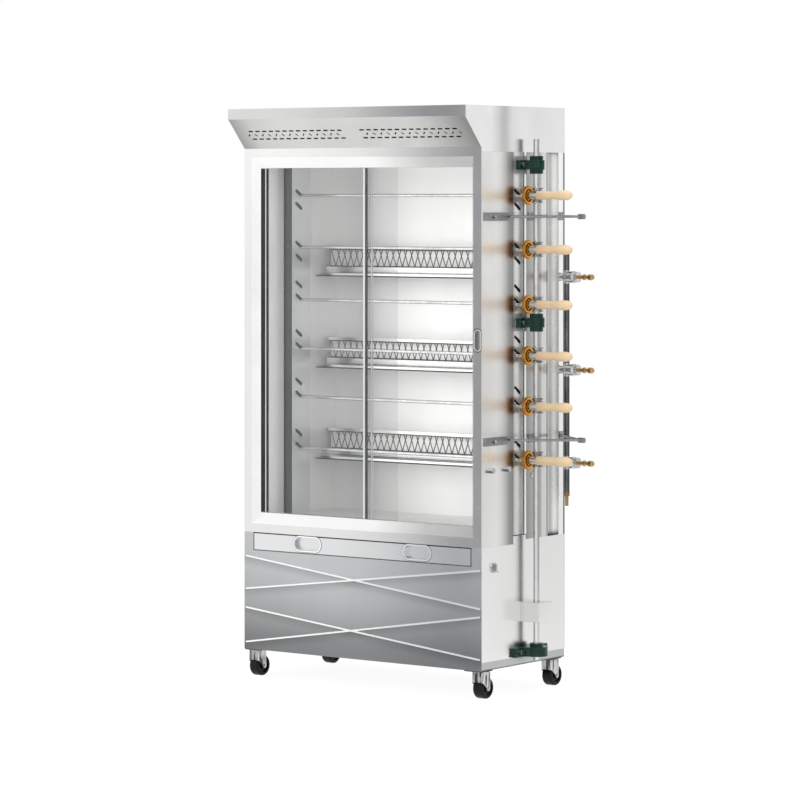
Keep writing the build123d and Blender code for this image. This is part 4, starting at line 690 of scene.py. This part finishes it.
# Painted castings and housings
casts = {
    "bearingGreen": {
        "low": (0.0015, 0.013, 0.009), "high": (0.007, 0.052, 0.035), "edge": (0.04, 0.17, 0.12),
        "rough": 0.22, "coat": 0.06, "shine": 0.25, "paintedEdgeShare": 0.45
    },
    "motorGrey": {
        "low": (0.05, 0.06, 0.07), "high": (0.075, 0.085, 0.095), "edge": (0.2, 0.2, 0.2), "rough": 0.45
    },
    "glandBlack": {
        "low": (0.012, 0.012, 0.013), "high": (0.02, 0.02, 0.021), "edge": (0.05, 0.05, 0.05),
        "rough": 0.55, "coat": 0.0, "round": 0.0006
    },
}
castOf = {name: paintedCast(name, finish) for name, finish in casts.items()}
dress(castOf["bearingGreen"], "bearing_housings")
dress(castOf["motorGrey"], "gear_motor")
dress(castOf["glandBlack"], "cable_gland")


def wheelBrass(name, level):
    # worm wheel: gold rim and hub, the dish between them darker, four lighter webs across it, a painted
    # highlight on its edges
    brass = {
        "rim": (0.90, 0.46, 0.09), "rimDull": (0.66, 0.30, 0.05), "darkDish": (0.055, 0.018, 0.006),
        "face": 0.3911, "spitY": 0.0185
    }
    material, tree, shader, coordinates = startMaterial(name, Metallic=1.0)
    centred = addNode(
        tree, "Mapping", {"Vector": coordinates, "Location": (-brass["face"], -brass["spitY"], -level)}
    ).outputs[0]
    parts = addNode(tree, "SeparateXYZ", {0: centred})
    across = addNode(tree, "CombineXYZ", {"Y": parts.outputs["Y"], "Z": parts.outputs["Z"]}).outputs[0]
    radius = addNode(tree, "VectorMath", {0: across}, operation="LENGTH").outputs["Value"]
    tarnish = noiseAt(tree, coordinates, (140.0,) * 3, 4.0, 0.6)
    inner = spread(tree, radius, 0.0, 1.0, 0.0125, 0.0135)
    outer = spread(tree, radius, 1.0, 0.0, 0.0200, 0.0212)
    deep = spread(tree, parts.outputs["X"], 1.0, 0.0, -0.0012, -0.0002)
    darkDish = mathOf(tree, "MULTIPLY", mathOf(tree, "MULTIPLY", inner, outer), deep)
    darkDish = mathOf(tree, "MULTIPLY", darkDish, spread(tree, tarnish, 0.75, 1.0, 0.3, 0.6))
    angle = mathOf(tree, "ARCTAN2", parts.outputs["Z"], parts.outputs["Y"])
    web = mathOf(tree, "ABSOLUTE", mathOf(tree, "COSINE", mathOf(tree, "MULTIPLY", angle, 2.0)))
    darkDish = mathOf(tree, "MULTIPLY", darkDish, spread(tree, web, 1.0, 0.55, 0.93, 0.99))
    rounded = roundedNormal(tree, 0.0004)
    edges = edgeShare(tree, rounded, 0.5)
    colour = mixOf(tree, spread(tree, tarnish, 0.0, 1.0, 0.35, 0.75), brass["rim"], brass["rimDull"])
    colour = mixOf(tree, edges, colour, (1.0, 0.66, 0.22))
    colour = mixOf(tree, darkDish, colour, brass["darkDish"])
    roughness = mathOf(
        tree, "ADD", spread(tree, tarnish, 0.20, 0.32), mathOf(tree, "MULTIPLY", darkDish, 0.16)
    )
    lathe = noiseAt(tree, addNode(tree, "CombineXYZ", {"X": radius}).outputs[0], (2600.0, 1.0, 1.0), 2.0)
    relief = addNode(
        tree, "Bump", {"Strength": 0.3, "Distance": 0.0002, "Height": lathe, "Normal": rounded}
    )
    feed(tree, shader, Base_Color=colour, Roughness=roughness, Normal=relief.outputs[0])
    return material


for index, level in enumerate(spitLevels, 1):
    dress(wheelBrass(f"wheelBrass{index}", level), f"spit_{index}_gear")

# Beech handles: long grain, short dark flecks, faint turning marks, a thin varnish
beech = {
    "pale": (0.86, 0.66, 0.43), "warm": (0.76, 0.53, 0.31), "fleck": (0.58, 0.37, 0.20), "start": 0.422
}
material, tree, shader, coordinates = startMaterial("beechWood", Coat_Weight=0.22, Coat_Roughness=0.3)
grain = noiseAt(tree, coordinates, (9.0, 210.0, 210.0), 4.0, 0.6)
broad = noiseAt(tree, coordinates, (5.0, 45.0, 45.0), 2.0)
flecks = noiseAt(tree, coordinates, (130.0, 900.0, 900.0), 1.0)
turning = noiseAt(tree, coordinates, (1500.0, 4.0, 4.0), 2.0)
colour = mixOf(tree, spread(tree, grain, 0.0, 0.55, 0.35, 0.75), beech["pale"], beech["warm"])
colour = mixOf(tree, spread(tree, broad, 0.0, 0.35, 0.3, 0.8), colour, beech["warm"])
colour = mixOf(tree, spread(tree, flecks, 0.0, 0.5, 0.66, 0.8), colour, beech["fleck"])
alongHandle = addNode(tree, "SeparateXYZ", {0: coordinates}).outputs["X"]
handled = spread(tree, alongHandle, 0.30, 0.0, beech["start"], beech["start"] + 0.010)
colour = mixOf(tree, handled, colour, beech["fleck"])
roughness = spread(tree, grain, 0.42, 0.56)
heights = mathOf(tree, "ADD", mathOf(tree, "MULTIPLY", grain, 0.6), mathOf(tree, "MULTIPLY", turning, 0.4))
relief = addNode(tree, "Bump", {"Strength": 0.22, "Distance": 0.0004, "Height": heights})
feed(tree, shader, Base_Color=colour, Roughness=roughness, Normal=relief.outputs[0])
for index in range(1, 7):
    dress(material, f"spit_{index}_handle")

# Gas manifold: a dark drawn pipe, with bright machined stubs and valve bodies at each valve's level
gas = {
    "levels": (1.238, 0.957, 0.676), "reach": 0.020, "pipe": (0.20, 0.205, 0.21),
    "pipeLow": (0.12, 0.12, 0.125), "body": (0.80, 0.80, 0.79), "bodyLow": (0.52, 0.52, 0.52)
}
material, tree, shader, coordinates = startMaterial("gasPipe", Metallic=1.0)
height = addNode(tree, "SeparateXYZ", {0: coordinates}).outputs["Z"]
outward = addNode(tree, "SeparateXYZ", {0: coordinates}).outputs["X"]
onBody = None
for level in gas["levels"]:
    distance = mathOf(tree, "ABSOLUTE", mathOf(tree, "SUBTRACT", height, level))
    near = spread(tree, distance, 1.0, 0.0, gas["reach"], gas["reach"] + 0.0005)
    onBody = near if onBody is None else mathOf(tree, "MAXIMUM", onBody, near)
turning = noiseAt(tree, coordinates, (900.0, 60.0, 60.0), 2.0)
stains = noiseAt(tree, coordinates, (70.0, 70.0, 30.0), 4.0, 0.6)
rounded = roundedNormal(tree, 0.0008)
edges = edgeShare(tree, rounded, 0.6)
pipe = mixOf(tree, spread(tree, stains, 0.0, 1.0, 0.35, 0.7), gas["pipeLow"], gas["pipe"])
body = mixOf(tree, spread(tree, stains, 0.0, 1.0, 0.4, 0.7), gas["bodyLow"], gas["body"])
colour = mixOf(tree, onBody, pipe, body)
# painted highlight along rounded edges
colour = mixOf(tree, edges, colour, (0.92, 0.92, 0.92))
relief = addNode(tree, "Bump", {"Strength": 0.3, "Distance": 0.0002, "Height": turning, "Normal": rounded})
feed(tree, shader, Base_Color=colour, Roughness=spread(tree, turning, 0.10, 0.22), Normal=relief.outputs[0])
dress(material, "gas_manifold")

# Caster tyres: dark moulded rubber, scuffed along the tread
material, tree, shader, coordinates = startMaterial("tyreRubber", Specular_IOR_Level=0.22)
scuffs = noiseAt(tree, coordinates, (160.0, 60.0, 60.0), 4.0, 0.65)
dust = noiseAt(tree, coordinates, (24.0,) * 3, 3.0)
rounded = roundedNormal(tree, 0.0015)
colour = mixOf(tree, spread(tree, dust, 0.0, 1.0, 0.35, 0.75), (0.002, 0.002, 0.002), (0.006, 0.006, 0.006))
# painted highlight along the tyre's rounded edges
colour = mixOf(tree, edgeShare(tree, rounded, 0.5), colour, (0.02, 0.02, 0.02))
roughness = spread(tree, scuffs, 0.34, 0.58)
relief = addNode(tree, "Bump", {"Strength": 0.3, "Distance": 0.0005, "Height": scuffs, "Normal": rounded})
feed(tree, shader, Base_Color=colour, Roughness=roughness, Normal=relief.outputs[0])
tyreRubber = material
for corner in casters:
    dress(tyreRubber, f"caster_{corner}_wheel")

# Burner housings: steel trays and caps round a pale ceramic face with rows of fine flame holes, with painted
# shade in the holes and dark lines of painted shade at the lip's foot and the tray's joints
burner = {
    "faceY": 0.1965, "pitch": 0.0032, "tile": (
        0.93, 0.92, 0.90
    ), "soot": (0.74, 0.72, 0.69), "steel": (0.88, 0.88, 0.87),
    "bottoms": (0.656, 0.943, 1.231), "shadeLines": (
        (0.0, 0.0050, 0.05), (0.0120, 0.0012, 0.35), (0.0305, 0.0014, 0.25), (0.0845, 0.0016, 0.12)
    ),
}
material, tree, shader, coordinates = startMaterial("burnerCeramic")
parts = addNode(tree, "SeparateXYZ", {0: coordinates})
depth = mathOf(tree, "ABSOLUTE", mathOf(tree, "SUBTRACT", parts.outputs["Y"], burner["faceY"]))
onFace = spread(tree, depth, 1.0, 0.0, 0.0003, 0.0006)
flatPlace = addNode(tree, "CombineXYZ", {"X": parts.outputs["X"], "Y": parts.outputs["Z"]}).outputs[0]
cells = addNode(
    tree, "TexVoronoi", {"Vector": flatPlace, "Scale": 1 / burner["pitch"], "Randomness": 0.0}
).outputs["Distance"]
holes = spread(tree, cells, 1.0, 0.0, 0.20, 0.30)
stain = noiseAt(tree, coordinates, (18.0, 18.0, 30.0), 4.0, 0.6)
streaks = noiseAt(tree, coordinates, (4.0, 700.0, 700.0), 3.0)
tile = mixOf(tree, spread(tree, stain, 0.0, 0.35, 0.45, 0.75), burner["tile"], burner["soot"])
# painted shade in the flame holes
tile = mixOf(tree, mathOf(tree, "MULTIPLY", holes, 0.35), tile, (0.30, 0.29, 0.27))
steel = mixOf(tree, spread(tree, streaks, 0.0, 0.4, 0.35, 0.75), burner["steel"], (0.94, 0.94, 0.93))
steel = mixOf(tree, spread(tree, stain, 0.0, 0.2, 0.5, 0.8), steel, (0.66, 0.64, 0.60))
first, second, third = burner["bottoms"]
bottom = mathOf(
    tree, "MULTIPLY", mathOf(tree, "GREATER_THAN", parts.outputs["Z"], second - 0.05), second - first
)
bottom = mathOf(
    tree, "ADD", bottom,
    mathOf(tree, "MULTIPLY", mathOf(tree, "GREATER_THAN", parts.outputs["Z"], third - 0.05), third - second)
)
rise = mathOf(tree, "SUBTRACT", mathOf(tree, "SUBTRACT", parts.outputs["Z"], first), bottom)
colour = mixOf(tree, onFace, steel, tile)
# dark lines of painted shade at set heights above each tray's bottom
for at, half, tone in burner["shadeLines"]:
    colour = mixOf(tree, 1.0, colour, lineNear(tree, rise, at, half, tone), "MULTIPLY")
metallic = mathOf(tree, "SUBTRACT", 1.0, onFace)
roughness = mathOf(tree, "ADD", spread(tree, streaks, 0.22, 0.32), mathOf(tree, "MULTIPLY", onFace, 0.5))
rounded = roundedNormal(tree, 0.001)
heights = mathOf(tree, "MULTIPLY", mathOf(tree, "MULTIPLY", holes, onFace), -1.0)
relief = addNode(tree, "Bump", {"Strength": 0.5, "Distance": 0.0006, "Height": heights, "Normal": rounded})
feed(tree, shader, Base_Color=colour, Metallic=metallic, Roughness=roughness, Normal=relief.outputs[0])
dress(material, "burner_housings")

# Glass: a grey toughened pane, clear where it is looked through, mirroring a little more at a slant
pane = {"tint": (0.945, 0.949, 0.951), "haze": 0.006}
material = bpy.data.materials.new("doorGlass")
material.use_nodes = True
tree = material.node_tree
tree.nodes.clear()
coordinates = addNode(tree, "TexCoord").outputs["Object"]
smears = noiseAt(tree, coordinates, (3.0, 3.0, 1.2), 3.0, 0.6)
tint = mixOf(
    tree, spread(tree, smears, 0.0, 1.0, 0.3, 0.7), tuple(c * 0.985 for c in pane["tint"]), pane["tint"]
)
clear = addNode(tree, "BsdfTransparent", {"Color": tint})
gloss = addNode(
    tree, "BsdfAnisotropic", {"Color": (1.0, 1.0, 1.0, 1.0), "Roughness": spread(tree, smears, 0.02, 0.05)}
)
fresnel = addNode(tree, "Fresnel", {"IOR": 1.5}).outputs[0]
entering = mathOf(tree, "SUBTRACT", 1.0, addNode(tree, "NewGeometry").outputs["Backfacing"])
both = addNode(
    tree, "MixShader",
    {0: mathOf(tree, "MULTIPLY", fresnel, entering), 1: clear.outputs[0], 2: gloss.outputs[0]}
)
film = addNode(tree, "BsdfDiffuse", {"Color": (0.8, 0.82, 0.83, 1.0)})
hazed = addNode(
    tree, "MixShader",
    {
        0: spread(tree, smears, pane["haze"], pane["haze"] * 2, 0.3, 0.8), 1: both.outputs[0],
        2: film.outputs[0]
    }
)
addNode(tree, "OutputMaterial", {"Surface": hazed.outputs[0]})
dress(material, "front_door", "rear_door")
print("materials are on the frame's nodes")

# ---------- pieces built here


def gridFaces(rows, columns):
    # quads between the points of a rows x columns grid, closed round the columns
    index = np.arange(rows * columns).reshape(rows, columns)
    right = np.roll(index, -1, axis=1)
    return np.stack([index[:-1], right[:-1], right[1:], index[1:]], axis=-1).reshape(-1, 4)


def addPiece(name, points, faces, material, body):
    # a closed mesh from its points and faces, doubles merged and normals turned outwards
    mesh = bpy.data.meshes.new(name)
    mesh.from_pydata(points.tolist(), [], [list(face) for face in faces])
    work = bmesh.new()
    work.from_mesh(mesh)
    bmesh.ops.remove_doubles(work, verts=work.verts, dist=0.000002)
    bmesh.ops.recalc_face_normals(work, faces=work.faces)
    work.to_mesh(mesh)
    work.free()
    mesh.materials.append(material)
    piece = bpy.data.objects.new(name, mesh)
    scene.collection.objects.link(piece)
    mesh.polygons.foreach_set("use_smooth", np.ones(len(mesh.polygons), bool))
    mesh.set_sharp_from_angle(angle=math.radians(38))
    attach(piece, body)
    return piece


def turnedForm(profile, centre, count):
    # profile rows are (height, radius); each is carried round the upright axis through centre
    profile = np.asarray(profile, float)
    angles = np.arange(count) * 2 * math.pi / count
    height = np.repeat(profile[:, :1], count, axis=1)
    rings = (profile[:, 1:] * np.cos(angles), profile[:, 1:] * np.sin(angles), height)
    points = np.stack(rings, axis=-1).reshape(-1, 3) + np.asarray(centre, float)
    return points, gridFaces(len(profile), count)


def joinForms(forms):
    # several forms in one mesh: their points stacked and their faces counted on
    points, faces, count = [], [], 0
    for formPoints, formFaces in forms:
        points.append(formPoints)
        faces += [list(np.asarray(face) + count) for face in formFaces]
        count += len(formPoints)
    return np.concatenate(points), faces


def uprightStrip(outline, low, high):
    # a closed outline in plan carried up from low to high, with both ends shut
    outline = np.asarray(outline, float)
    count = len(outline)
    rings = np.stack([np.column_stack([outline, np.full(count, z)]) for z in (low, high)])
    faces = [list(face) for face in gridFaces(2, count)]
    faces.append(list(range(count)))
    faces.append(list(range(count, 2 * count)))
    return rings.reshape(-1, 3), faces


def roundedBar(xLow, xHigh, yLow, yHigh, radius, steps=4):
    # outline of a rectangle with quarter-circle corners
    corners = ((xHigh, yHigh, 0.0), (xLow, yHigh, 90.0), (xLow, yLow, 180.0), (xHigh, yLow, 270.0))
    turns = np.radians(np.linspace(0.0, 90.0, steps + 1))
    outline = []
    for x, y, first in corners:
        centreX = x - radius if x == xHigh else x + radius
        centreY = y - radius if y == yHigh else y + radius
        angles = turns + math.radians(first)
        outline.append(
            np.column_stack([centreX + radius * np.cos(angles), centreY + radius * np.sin(angles)])
        )
    return np.concatenate(outline)


# Edge trims on the front door: a seal band, a steel stile and a dark strip standing in for a shadow gap on its
# left edge; a steel edge, a strip and a dark strip standing in for a shadow gap on its right
doorTrim = {
    "low": 0.5085, "high": 1.5675, "proud": 0.0028, "sealWidth": 0.0120, "stileWidth": 0.0045,
    "shadowGapWidth": 0.0030,
    "edgeWidth": 0.0028, "endSet": 0.0240, "endShadowGapWidth": 0.0026, "stripWidth": 0.0080,
}
frontLow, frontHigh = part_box("front_door")

material, tree, shader, coordinates = startMaterial("sealRubber", Specular_IOR_Level=0.35)
pile = noiseAt(tree, coordinates, (900.0, 900.0, 26.0), 3.0)
dusty = noiseAt(tree, coordinates, (20.0, 20.0, 14.0), 3.0)
colour = mixOf(tree, spread(tree, dusty, 0.0, 1.0, 0.4, 0.8), (0.022, 0.022, 0.024), (0.055, 0.055, 0.058))
relief = addNode(tree, "Bump", {"Strength": 0.4, "Distance": 0.0005, "Height": pile})
feed(tree, shader, Base_Color=colour, Roughness=spread(tree, pile, 0.5, 0.75), Normal=relief.outputs[0])
sealRubber = material


def trimStrip(name, pane, left, right, proud, material, body):
    # a bar with rounded corners on each face of a pane, from left to right along X
    low, high = pane
    forms = []
    for inner, outer in ((low.y - 0.00005, low.y - proud), (high.y + 0.00005, high.y + proud)):
        outline = roundedBar(
            left, right, min(inner, outer), max(inner, outer), min(proud, right - left) * 0.3
        )
        forms.append(uprightStrip(outline, doorTrim["low"], doorTrim["high"]))
    points, faces = joinForms(forms)
    return addPiece(name, points, faces, material, body)


edge = frontLow.x + 0.0002
trimStrip(
    "frontDoorSeal", (frontLow, frontHigh), edge, edge + doorTrim["sealWidth"], doorTrim["proud"],
    sealRubber, "front_door"
)
edge += doorTrim["sealWidth"]
trimStrip(
    "frontDoorStile", (frontLow, frontHigh), edge, edge + doorTrim["stileWidth"], doorTrim["proud"] * 0.8,
    sheetOf["backSteel"], "front_door"
)
edge += doorTrim["stileWidth"]
# a dark strip as painted shade: the shadow gap beside the stile
trimStrip(
    "frontDoorShadowGap", (frontLow, frontHigh), edge, edge + doorTrim["shadowGapWidth"], doorTrim["proud"] * 0.6,
    sealRubber, "front_door"
)
edge = frontHigh.x - doorTrim["edgeWidth"]
trimStrip(
    "frontDoorEdge", (frontLow, frontHigh), edge, frontHigh.x, doorTrim["proud"] * 0.5,
    sheetOf["backSteel"], "front_door"
)
edge = frontHigh.x - doorTrim["endSet"]
# a dark strip as painted shade: the shadow gap beside the end strip
trimStrip(
    "frontDoorEndShadowGap", (frontLow, frontHigh), edge, edge + doorTrim["endShadowGapWidth"],
    doorTrim["proud"] * 0.8, sealRubber, "front_door"
)
trimStrip(
    "frontDoorEndStrip", (frontLow, frontHigh), edge - doorTrim["stripWidth"], edge, doorTrim["proud"],
    sheetOf["coverSteel"], "front_door"
)

# Bearing races: the steel ring that grips the shaft at each end of a hub
races = {
    "ends": (1.5495, 1.6025, 1.0785, 1.1315, 0.110, 0.148), "x": 0.3861, "y": 0.0629, "inner": 0.00853,
    "outer": 0.0128, "rise": 0.0018
}
forms = []
inner, outer, rise = races["inner"], races["outer"], races["rise"]
for index, baseZ in enumerate(races["ends"]):
    side = 1 if index % 2 else -1
    profile = (
        (baseZ, inner), (baseZ + side * rise, inner), (baseZ + side * rise, outer - 0.0006),
        (baseZ + side * (rise - 0.0006), outer), (baseZ, outer), (baseZ, inner)
    )
    forms.append(turnedForm(profile, (races["x"], races["y"], 0.0), 40))
points, faces = joinForms(forms)
addPiece("bearingRaces", points, faces, barOf["shaftSteel"], "cabinet")

# Slot collars: the lip of each slanted slot in the spit strip is folded inwards, and is coloured near black as
# painted shade inside the slot
collar = {
    "outer": 0.3544, "inner": 0.3424, "y": -0.0050, "run": 0.0235, "rise": 0.0150, "radius": 0.0053,
    "wall": 0.0007,
    "heights": (1.485, 1.445, 1.324, 1.284, 1.160, 1.200, 1.008, 1.048, 0.857, 0.897, 0.697, 0.737),
}


def slotOutline(radius, steps=12):
    # rounded slot in the YZ plane: a half circle round its upper front end, then one round its lower rear end
    lean = math.atan2(-collar["rise"], collar["run"])
    upper = np.array([collar["y"], collar["rise"]])
    lower = np.array([collar["y"] + collar["run"], 0.0])
    turns = np.linspace(0.0, math.pi, steps)
    first = upper + radius * np.column_stack(
        [np.cos(lean + math.pi / 2 + turns), np.sin(lean + math.pi / 2 + turns)]
    )
    second = lower + radius * np.column_stack(
        [np.cos(lean - math.pi / 2 + turns), np.sin(lean - math.pi / 2 + turns)]
    )
    return np.concatenate([first, second])


forms = []
innerLine, outerLine = slotOutline(collar["radius"]), slotOutline(collar["radius"] + collar["wall"])
for height in collar["heights"]:
    rings = []
    for line, x in (
        (innerLine, collar["outer"]), (innerLine, collar["inner"]), (outerLine, collar["inner"]),
        (outerLine, collar["outer"]), (innerLine, collar["outer"])
    ):
        rings.append(np.column_stack([np.full(len(line), x), line[:, 0], line[:, 1] + height]))
    forms.append((np.concatenate(rings), gridFaces(5, len(innerLine))))
points, faces = joinForms(forms)
# near-black steel: painted shade inside the slots
material, tree, shader, coordinates = startMaterial("slotShadeSteel", Metallic=1.0)
slotShadeMottle = noiseAt(tree, coordinates, (260.0,) * 3, 4.0, 0.6)
colour = mixOf(tree, spread(tree, slotShadeMottle, 0.0, 1.0, 0.35, 0.7), (0.012, 0.010, 0.009), (0.05, 0.045, 0.04))
relief = addNode(tree, "Bump", {"Strength": 0.4, "Distance": 0.0003, "Height": slotShadeMottle})
feed(tree, shader, Base_Color=colour, Roughness=spread(tree, slotShadeMottle, 0.5, 0.75), Normal=relief.outputs[0])
addPiece("slotShadeCollars", points, faces, material, "cabinet")
print("pieces are built")
